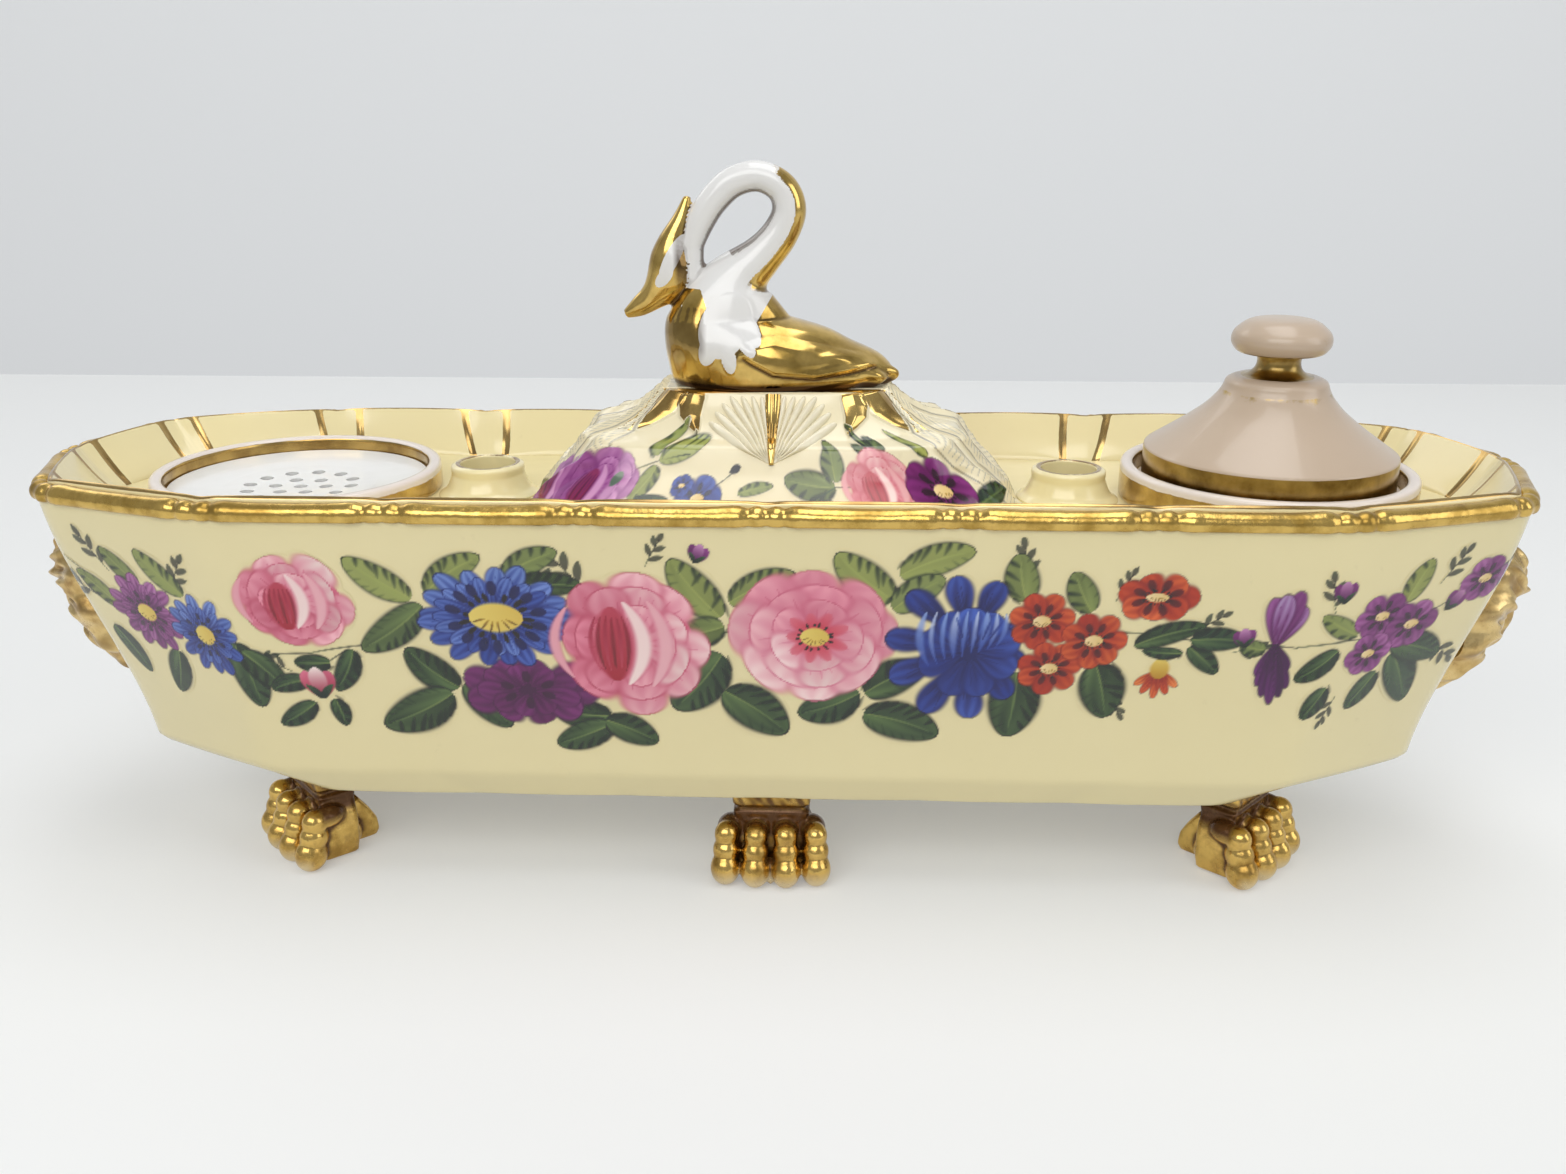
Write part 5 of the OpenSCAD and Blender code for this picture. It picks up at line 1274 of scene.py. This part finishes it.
def fused(shapes, voxel, passes):
    """One closed skin round overlapping solids, in even small faces, eased by a few passes."""
    mesh = bpy.data.meshes.new("raw")
    points, faces, start = [], [], 0
    for some, ring in shapes:
        points += [tuple(p) for p in some]
        faces += [tuple(start + i for i in f) for f in ring]
        start += len(some)
    mesh.from_pydata(points, [], faces)
    raw = bpy.data.objects.new("raw", mesh)
    scene.collection.objects.link(raw)
    remesh = raw.modifiers.new("even", "REMESH")
    remesh.mode, remesh.voxel_size, remesh.adaptivity = "VOXEL", voxel, 0
    even = bpy.data.meshes.new_from_object(raw.evaluated_get(
        bpy.context.evaluated_depsgraph_get()))
    bpy.data.objects.remove(raw)
    bpy.data.meshes.remove(mesh)
    points, faces = vectors(even.vertices, "co"), [tuple(p.vertices) for p in even.polygons]
    mean = neighbour_mean(even)
    for _ in range(passes):
        points = (points + mean(points)) / 2
    bpy.data.meshes.remove(even)
    return points, faces


def nearest_values(points, samples, values):
    """Value of the nearest sample for each point."""
    tree = mathutils.kdtree.KDTree(len(samples))
    for i, p in enumerate(samples):
        tree.insert(p, i)
    tree.balance()
    return np.array([values[tree.find(p)[1]] for p in points])


swan_slices = smooth_rows([
    (0, -0.91, 0.955, 0.95), (0.14, -0.95, 1.1, 0.98), (0.3, -0.97, 1.04, 1),
    (0.48, -0.99, 0.92, 1), (0.66, -1, 0.68, 0.95), (0.84, -1, 0.46, 0.85),
    (1, -0.98, 0.13, 0.74)], 3)
body_rings = [egg_ring(front, back, half, SWAN_FOOT_Z + SWAN_BODY_HEIGHT * h)
              for h, front, back, half in swan_slices]
neck_rows = smooth_rows([
    (-0.44, 0.165, 88, 3, 2.3), (-0.31, 0.285, 62, 1.95, 1.75), (-0.12, 0.4, 47, 1.4, 1.42),
    (0.04, 0.54, 60, 1.22, 1.25), (0.12, 0.695, 88, 1.13, 1.15), (0.05, 0.83, 132, 1.04, 1.08),
    (-0.15, 0.9, 178, 1, 1.03), (-0.375, 0.86, 214, 1, 1), (-0.55, 0.74, 236, 0.98, 0.98),
    (-0.67, 0.6, 246, 0.95, 0.95), (-0.75, 0.46, 254, 0.86, 0.9)], 5)
neck_rings = route_rings(neck_rows)
fall_rings = route_rings(smooth_rows([
    (-0.73, 0.5, 254, 0.8, 0.84), (-0.745, 0.36, 264, 0.84, 0.88), (-0.72, 0.22, 276, 0.92, 0.96),
    (-0.66, 0.1, 286, 1, 1)], 5))
root_ring = egg_ring(*swan_slices[-1][1:], SWAN_FOOT_Z + SWAN_BODY_HEIGHT, ROUTE_POINTS)
head_rings = route_rings(smooth_rows([
    (-0.77, 0.775, 262, 0.25, 0.25), (-0.82, 0.65, 256, 0.55, 0.66), (-0.90, 0.5, 252, 0.95, 1.1),
    (-0.91, 0.37, 246, 1.5, 1.4), (-0.95, 0.25, 232, 1.65, 1.35), (-1.1, 0.13, 216, 0.95, 0.85),
    (-1.23, 0.06, 208, 0.68, 0.66), (-1.35, 0.01, 206, 0.3, 0.36)], 4))

swan_parts = [loft(body_rings), loft([root_ring] + neck_rings), loft(fall_rings),
              loft(head_rings)]
swan_points, swan_faces = fused(swan_parts, 0.28, 6)


def lobed(x, z, spots):
    """How far inside the nearest of some slanted ovals each point lies, 1 in their middles."""
    best = np.zeros_like(x)
    for at_x, at_z, long, wide, turn in spots:
        c, s = math.cos(math.radians(turn)), math.sin(math.radians(turn))
        along, across = (x - at_x) * c + (z - at_z) * s, (z - at_z) * c - (x - at_x) * s
        best = np.maximum(best, 1 - (along / long) ** 2 - (across / wide) ** 2)
    return np.clip(best, 0, 1)


# Each point takes its part, its turn about the route and its share of the way from the nearest
# ring: 0 body, 1 neck, 2 head, 3 the end of the neck
BODY, NECK, HEAD, FALL = range(4)
samples, told = [], []
for part, rings, shares in (
        (BODY, body_rings, np.zeros(len(body_rings))),
        (NECK, [root_ring] + neck_rings, np.append(0, np.arange(len(neck_rings)))
         / len(neck_rings)),
        (HEAD, head_rings, np.linspace(0, 1, len(head_rings))),
        (FALL, fall_rings, np.linspace(0, 1, len(fall_rings)))):
    for ring, share in zip(rings, shares):
        turns = np.linspace(0, 2 * math.pi, len(ring), endpoint=False)
        samples.append(ring)
        told.append(np.column_stack([np.full(len(ring), part), turns * (part in (NECK, FALL)),
                                     np.full(len(ring), share)]))
part, turn, place = nearest_values(swan_points, np.concatenate(samples), np.concatenate(told)).T
x, y, z = swan_points.T
above = z - SWAN_FOOT_Z

# Wings: a broad fold from the shoulder to the tail, with three rows of quills under it
wing_top = np.interp(x, (-6, 0, 8, 16, 22), (9.8, 11.2, 9.4, 7.4, 6.2))
wing_foot = np.interp(x, (-6, 0, 8, 16, 22), (6.6, 3.4, 2.6, 3.6, 4.6))
wing = (part == BODY) * np.clip((x + 7) / 2.5, 0, 1) * np.clip((23.5 - x) / 1.5, 0, 1)
wing = wing * np.clip((above - wing_foot) / 0.7, 0, 1) * np.clip((wing_top - above) / 2.2, 0, 1)
side_on = np.clip((np.abs(y) - 3.5) / 2, 0, 1)
quills = np.cos((above - wing_foot) * 2.2 - 0.10 * x)
wing_lift = side_on * wing * (0.75 + 0.10 * quills * np.clip((x - 4) / 6, 0, 1))
tail = (part == BODY) * np.clip((x - 16) / 4, 0, 1) * np.clip((4.2 - above) / 1.5, 0, 1)
tail_lift = tail * 0.5 * np.cos(1.5 * y + 0.6 * above)
breast = lobed(x, above, ((-9.6, 12.6, 6.6, 5.0, 62), (-12.6, 8.6, 3.8, 2.0, 72),
                          (-8.8, 6.9, 3.4, 1.5, 100), (-5.4, 9.2, 2.8, 1.3, 128),
                          (-4.6, 11.6, 3.4, 1.8, 118)))
breast_lift = 0.22 * np.sqrt(breast) * np.clip((np.abs(y) - 2) / 2, 0, 1)
swan_mesh = bpy.data.meshes.new("probe")
swan_mesh.from_pydata([tuple(p) for p in swan_points], [], swan_faces)
normals = vectors(swan_mesh.vertex_normals, "vector")
bpy.data.meshes.remove(swan_mesh)
swan_points = swan_points + normals * (wing_lift + tail_lift + breast_lift)[:, None]

# The gold ends on the breast in a soft line and runs up the back of the neck; brown lines run
# inside the loop of the neck and by the gold of the nape, and painted shade lies brown in the
# folds under the wings, where the head rests and along the foot
glaze_foot = np.interp(x, (-14.5, -13, -11, -7, -4, -1.8, 0.4, 6),
                       (19, 15, 11.6, 10.8, 12, 15.5, 19, 24))
white_neck = (part != HEAD) * np.clip((above - glaze_foot) / 0.7, 0, 1)
white_neck[(part == FALL) & (above > 15)] = 1
gold_back = ((part == NECK) * np.clip((np.cos(turn) - 0.30) / 0.2, 0, 1) * np.clip(place / 0.1, 0, 1)
             * np.clip((0.60 - place) / 0.10, 0, 1))
cheek = (part == HEAD) * lobed(x, above, ((-20.2, 25.0, 5.4, 1.5, 62), (-21.8, 21.4, 2.6, 1.3, 48)))
swan_gilt = np.maximum(1 - white_neck, 0.85 * gold_back)
swan_gilt = np.minimum(swan_gilt, 1 - np.clip(breast * 6, 0, 1))
swan_gilt = np.where(part == HEAD, np.minimum(swan_gilt, 1 - 0.85 * np.clip(cheek * 5, 0, 1)),
                     swan_gilt)
inner_line = ((((part == NECK) & (place > 0.14)) | (part == FALL))
              * np.clip((-np.cos(turn) - 0.66) / 0.2, 0, 1))
nape_line = gold_back * np.clip((0.62 - np.cos(turn)) / 0.2, 0, 1)
# Painted shadow along the foot, where the swan meets the cover
contact_shadow = np.clip((1.9 - above) / 0.9, 0, 1)
# Painted shade under the edge of the wings
under_wing_shade = np.exp(-((above - wing_foot + 0.3) / 0.5) ** 2) * side_on * (part == BODY) * (x > -7)
# Painted shade on the head where it rests against the neck
head_shade = (part == HEAD) * np.exp(-((place - 0.42) / 0.2) ** 2) * np.clip((x + 20.2) / 1.2, 0, 1)
front = (part == BODY) * np.clip((-12.6 - x) / 1.6, 0, 1) * np.clip((above - 5) / 3, 0, 1)
# Brown lines and painted shade together
swan_brown_and_shade = np.clip(0.75 * inner_line + contact_shadow + 0.45 * under_wing_shade + 0.75 * head_shade
                     + 0.4 * nape_line + 0.5 * front, 0, 1)


def coloured_where(material, layer="hollow", colour=(0.075, 0.035, 0.012), low=0.12, high=0.85):
    """Change a material to another colour where one of the mesh's layers says so; left as it is, it
    paints shade dark brown over the 'hollow' layer.
    """
    nodes, links = material.node_tree.nodes, material.node_tree.links
    surface = nodes["Principled BSDF"]
    tone = surface.inputs["Base Color"].links[0].from_socket
    share = ramp(nodes, links, marked(nodes, layer), [(low, (0, 0, 0)), (high, (1, 1, 1))])
    links.new(mix(nodes, links, share, tone, colour), surface.inputs["Base Color"])
    return material


swan_paint = coloured_where(worn_paint("swan_paint", (0.86, 0.85, 0.83), (0.74, 0.73, 0.71), 0.14,
                             (0.72, 0.49, 0.14), (0.40, 0.25, 0.05), broken=0.3))
swan = piece("swan_figure", (swan_points, swan_faces), swan_paint, "cover",
             ["swan_body", "swan_neck", "swan_head"], crease=80)
keep_layer(swan, "gilt", swan_gilt)
# Painted shade in the swan's hollows, strongest on the gold, with its brown lines and the painted
# shade and shadow above.
hollows(swan, 6, 0.7, np.where(swan_gilt > 0.5, 0.8, 0.35), swan_brown_and_shade)

# --------------------------------------------------------------
# Lion masks: one pressed in relief on each end of the tray, gilt, with the features drawn again
# in brown, shade painted brown into the hollows, and the gold worn pale on the brow, the nose
# and the cheeks.
MASK_HEIGHT, MASK_WIDTH, MASK_Z, MASK_RELIEF, MASK_SINK = 34.0, 29.0, 51.5, 12.5, 1.2


def swelling(y, z, at_y, at_z, wide, tall, turn=0.0):
    """A soft round swelling on both halves of the face, in shares of the mask's half size."""
    c, s = math.cos(math.radians(turn)), math.sin(math.radians(turn))
    side, up = np.abs(y) - at_y, z - at_z
    along, across = side * c + up * s, up * c - side * s
    return np.exp(-(along / wide) ** 2 - (across / tall) ** 2)


# Height, place across and up, half width, half height and slant of each form of the face
FACE = ((0.34, 0, 0.45, 0.6, 0.45), (0.44, 0, -0.22, 0.22, 0.24),  # brow and muzzle
        (0.22, 0, 0.06, 0.12, 0.24), (0.07, 0.14, -0.17, 0.06, 0.07),  # nose and nostrils
        (0.26, 0.2, -0.38, 0.17, 0.13), (0.22, 0, -0.63, 0.22, 0.12),  # lips and chin
        (0.20, 0.32, 0.33, 0.22, 0.07, 18), (-0.24, 0.33, 0.13, 0.17, 0.09, -8),  # round the eyes
        (0.18, 0.33, 0.12, 0.085, 0.06), (-0.16, 0.10, -0.54, 0.24, 0.035, -12),  # eyes, mouth
        (-0.10, 0, -0.42, 0.02, 0.1), (0.12, 0.48, -0.12, 0.16, 0.2),  # lip's groove, cheeks
        (0.08, 0.12, 0.5, 0.08, 0.14), (-0.09, 0, 0.46, 0.035, 0.2))  # forehead
DRAWN = ((0.95, 0.33, 0.19, 0.15, 0.026, -6), (0.8, 0.33, 0.06, 0.14, 0.022, 6),
         (1.0, 0.33, 0.12, 0.034, 0.034), (0.8, 0.08, -0.52, 0.22, 0.03, -12),
         (0.7, 0.11, -0.26, 0.05, 0.035))


def face(y, z, forms):
    return sum(height * swelling(y, z, *form) for height, *form in forms)


def mask_ground(z):
    share = (MASK_Z + z - BEVEL_Z) / (WALL_TOP_Z - BEVEL_Z)
    return SIDE_END + TIP_RUN + WALL_PROUD - MASK_SINK - END_LEAN * lean(np.clip(share, 0, 1))


mask_gold = gilding("mask_gold", (0.74, 0.55, 0.25), (0.52, 0.34, 0.12), wear=0.8, roughness=0.3)
for side_name, side in (("left", -1), ("right", 1)):
    rows, brown = [], []
    sectors = np.linspace(0, 2 * math.pi, 400, endpoint=False)
    for share in np.linspace(1, 0.008, 120):
        y, z = share * np.cos(sectors), share * np.sin(sectors)
        mane = max(0.0, share - 0.60) / 0.40
        curl = np.cos(13 * sectors + 0.6 * math.sin(9 * share) + 2.2 * mane)
        fine = np.cos(39 * sectors + 6.0 * mane)
        lock = 0.30 * mane * (1 - mane) * curl + 0.05 * min(1, 4 * mane) * (1 - mane) * fine
        fall = math.sqrt(max(0.0, 1 - share ** 4))
        out = MASK_RELIEF * ((0.53 + face(y, z, FACE)) * fall + lock)
        edge = 1 + 0.05 * mane * np.cos(13 * sectors)
        rows.append(np.column_stack([
            side * (mask_ground(z * MASK_HEIGHT / 2) + np.minimum(out, MASK_RELIEF * 1.2)),
            side * y * edge * MASK_WIDTH / 2, MASK_Z + z * edge * MASK_HEIGHT / 2]))
        brown.append(np.clip(face(y, z, DRAWN)
                             + np.clip(-curl - 0.55, 0, 1) * min(1, 3 * mane), 0, 1))
    back = rows[0] - np.array([side * 2.2, 0, 0])
    mask = piece("lion_mask_" + side_name, loft([back] + rows), mask_gold, "stand",
                 ["mask_" + side_name], crease=80)
    # Painted shade in the mask's hollows, together with the features and locks drawn in brown.
    hollows(mask, 4, 0.55, 0.8, np.concatenate([np.zeros(len(back))] + brown))

# --------------------------------------------------------------
# Paw feet: six lion's paws, each under a square block with a step, luted to the bottom of the
# tray and gilt. The gold is burnished on the toes, and shade is painted brown between them.
BLOCK_WIDTH, BLOCK_DEPTH, PAW_HEIGHT = 16.6, 9.0, 14.0
PAW_WIDTH, PAW_REACH, TOE_HALF_WIDTH, TOE_FAN, HEEL_REACH = 22.8, 8.5, 3.1, 5.0, 10.0
MIDDLE_FOOT_Y, CORNER_FOOT_X, CORNER_FOOT_Y, CORNER_FOOT_TURN = 22.6, 97.0, 16.4, 48.0


def turned(points, turn):
    """Points turned about the vertical."""
    c, s = math.cos(turn), math.sin(turn)
    return np.column_stack([points[:, 0] * c - points[:, 1] * s,
                            points[:, 0] * s + points[:, 1] * c, points[:, 2]])


def ball(centre, sizes, turn=0.0):
    """An ellipsoid as rings, turned about the vertical."""
    a = np.linspace(0, 2 * math.pi, 20, endpoint=False)
    flat = math.pi / 2 - 0.12
    return loft([turned(np.column_stack([sizes[0] * math.cos(v) * np.cos(a),
                                         sizes[1] * math.cos(v) * np.sin(a),
                                         np.full(len(a), sizes[2] * math.sin(v))]), turn) + centre
                 for v in np.linspace(-flat, flat, 12)])


def box_ring(half_x, front, back, z):
    """A rectangle with eased corners at one height."""
    a = np.linspace(0, 2 * math.pi, 40, endpoint=False)
    c, s = np.cos(a), np.sin(a)
    r = (np.abs(c) ** 12 + np.abs(s) ** 12) ** (-1 / 12)
    return np.column_stack([half_x * c * r, (front + back) / 2 + (back - front) / 2 * s * r,
                            np.full(40, float(z))])


def paw_parts():
    half, deep = BLOCK_WIDTH / 2, BLOCK_DEPTH / 2
    block = loft([box_ring(half * w, -deep * w, deep * w, PAW_HEIGHT + up) for w, up in (
        (0.9, -1.6), (0.94, 0), (0.96, 0.5), (0.84, 0.9), (0.84, 1.6), (0.97, 2.1), (0.97, 6.2),
        (0.97, 6.9))])
    ankle = loft([box_ring(half * w, front, back, z) for w, front, back, z in (
        (1.06, -5.0, 3.4, 0.5), (1.14, -4.8, 3.6, 3.5), (1.12, -4.6, 3.8, 7.0),
        (1.04, -4.3, 4.0, 10.0), (0.94, -3.9, 3.9, 12.0), (0.88, -3.7, 3.8, 14.4))])
    heel = loft([box_ring(4.6 * w, 0, HEEL_REACH * reach, z) for w, reach, z in (
        (0.9, 0.94, 0.2), (1.0, 1.0, 1.6), (1.0, 0.97, 4.2), (0.95, 0.82, 7.0),
        (0.9, 0.6, 10.0))])
    parts = [block, ankle, heel, ball(np.array([0, 3.4, 3.6]), (8.2, 2.6, 3.4)),
             ball(np.array([0, -PAW_REACH + 0.9, 2.9]), (0.9, 2.2, 2.9))]
    for i in range(4):
        side = i - 1.5
        turn = math.radians(TOE_FAN * side)
        way = np.array([math.sin(turn), -math.cos(turn), 0])
        root = np.array([(PAW_WIDTH - 2 * TOE_HALF_WIDTH) * side / 3, 0, 0])
        reach = PAW_REACH - (0.9 if abs(side) > 1 else 0)
        for along, up, sizes in ((reach, 3.6, (TOE_HALF_WIDTH, 3.5, 3.7)),
                                 (reach * 0.86, 7.2, (2.8, 3.1, 3.0)),
                                 (reach * 0.78, 10.4, (2.55, 2.8, 2.8)),
                                 (reach * 0.40, 10.8, (2.5, 3.8, 2.4))):
            parts.append(ball(root + way * along + np.array([0, 0, up]), sizes, turn))
    return parts


foot_gold = coloured_where(gilding("foot_gold", (0.72, 0.48, 0.14), (0.40, 0.24, 0.06), wear=0.5,
                         roughness=0.22), "rubbed", (0.74, 0.62, 0.40), 0.1, 1.0)
paw_points, paw_faces = fused(paw_parts(), 0.3, 4)
paw_points[:, 2] = np.clip(paw_points[:, 2], 0, BASE_Z - 0.02)
x, y, z = paw_points.T
# Painted shade under the block's step, brown patches on the block; the toes are rubbed bright
step_shade = (np.clip((y + 5.6) / 1.2, 0, 1) * np.clip((z - 9.5) / 2, 0, 1)
          * np.clip((15.6 - z) / 0.8, 0, 1))
patches = 0.42 + 0.5 * np.sin(1.45 * x + 0.5 * z) * np.cos(0.75 * z - 0.6 * x)
mottled = (z > 14.8) * np.clip(patches + 0.3 * np.sin(3.1 * x + 2.3 * z), 0, 0.9)
rubbed_toe = np.clip((4.6 - z) / 2.5, 0, 1) * np.clip((-y - 7.5) / 2, 0, 1) * 0.8
for row, way in (("front", 1), ("back", -1)):
    for column, side in (("left", -1), ("middle", 0), ("right", 1)):
        turn = math.radians((way < 0) * 180 + way * side * CORNER_FOOT_TURN)
        where = (side * CORNER_FOOT_X, -way * (CORNER_FOOT_Y if side else MIDDLE_FOOT_Y), 0)
        paw = piece(f"paw_{row}_{column}", (turned(paw_points, turn) + where, paw_faces),
                    foot_gold, "stand", [f"foot_{row}_{column}"], crease=80)
        # Painted shade in the paw's hollows and under the step, with the brown patches of the block.
        hollows(paw, 8, 1.1, 1.0, np.maximum(step_shade, mottled))
        keep_layer(paw, "rubbed", rubbed_toe)
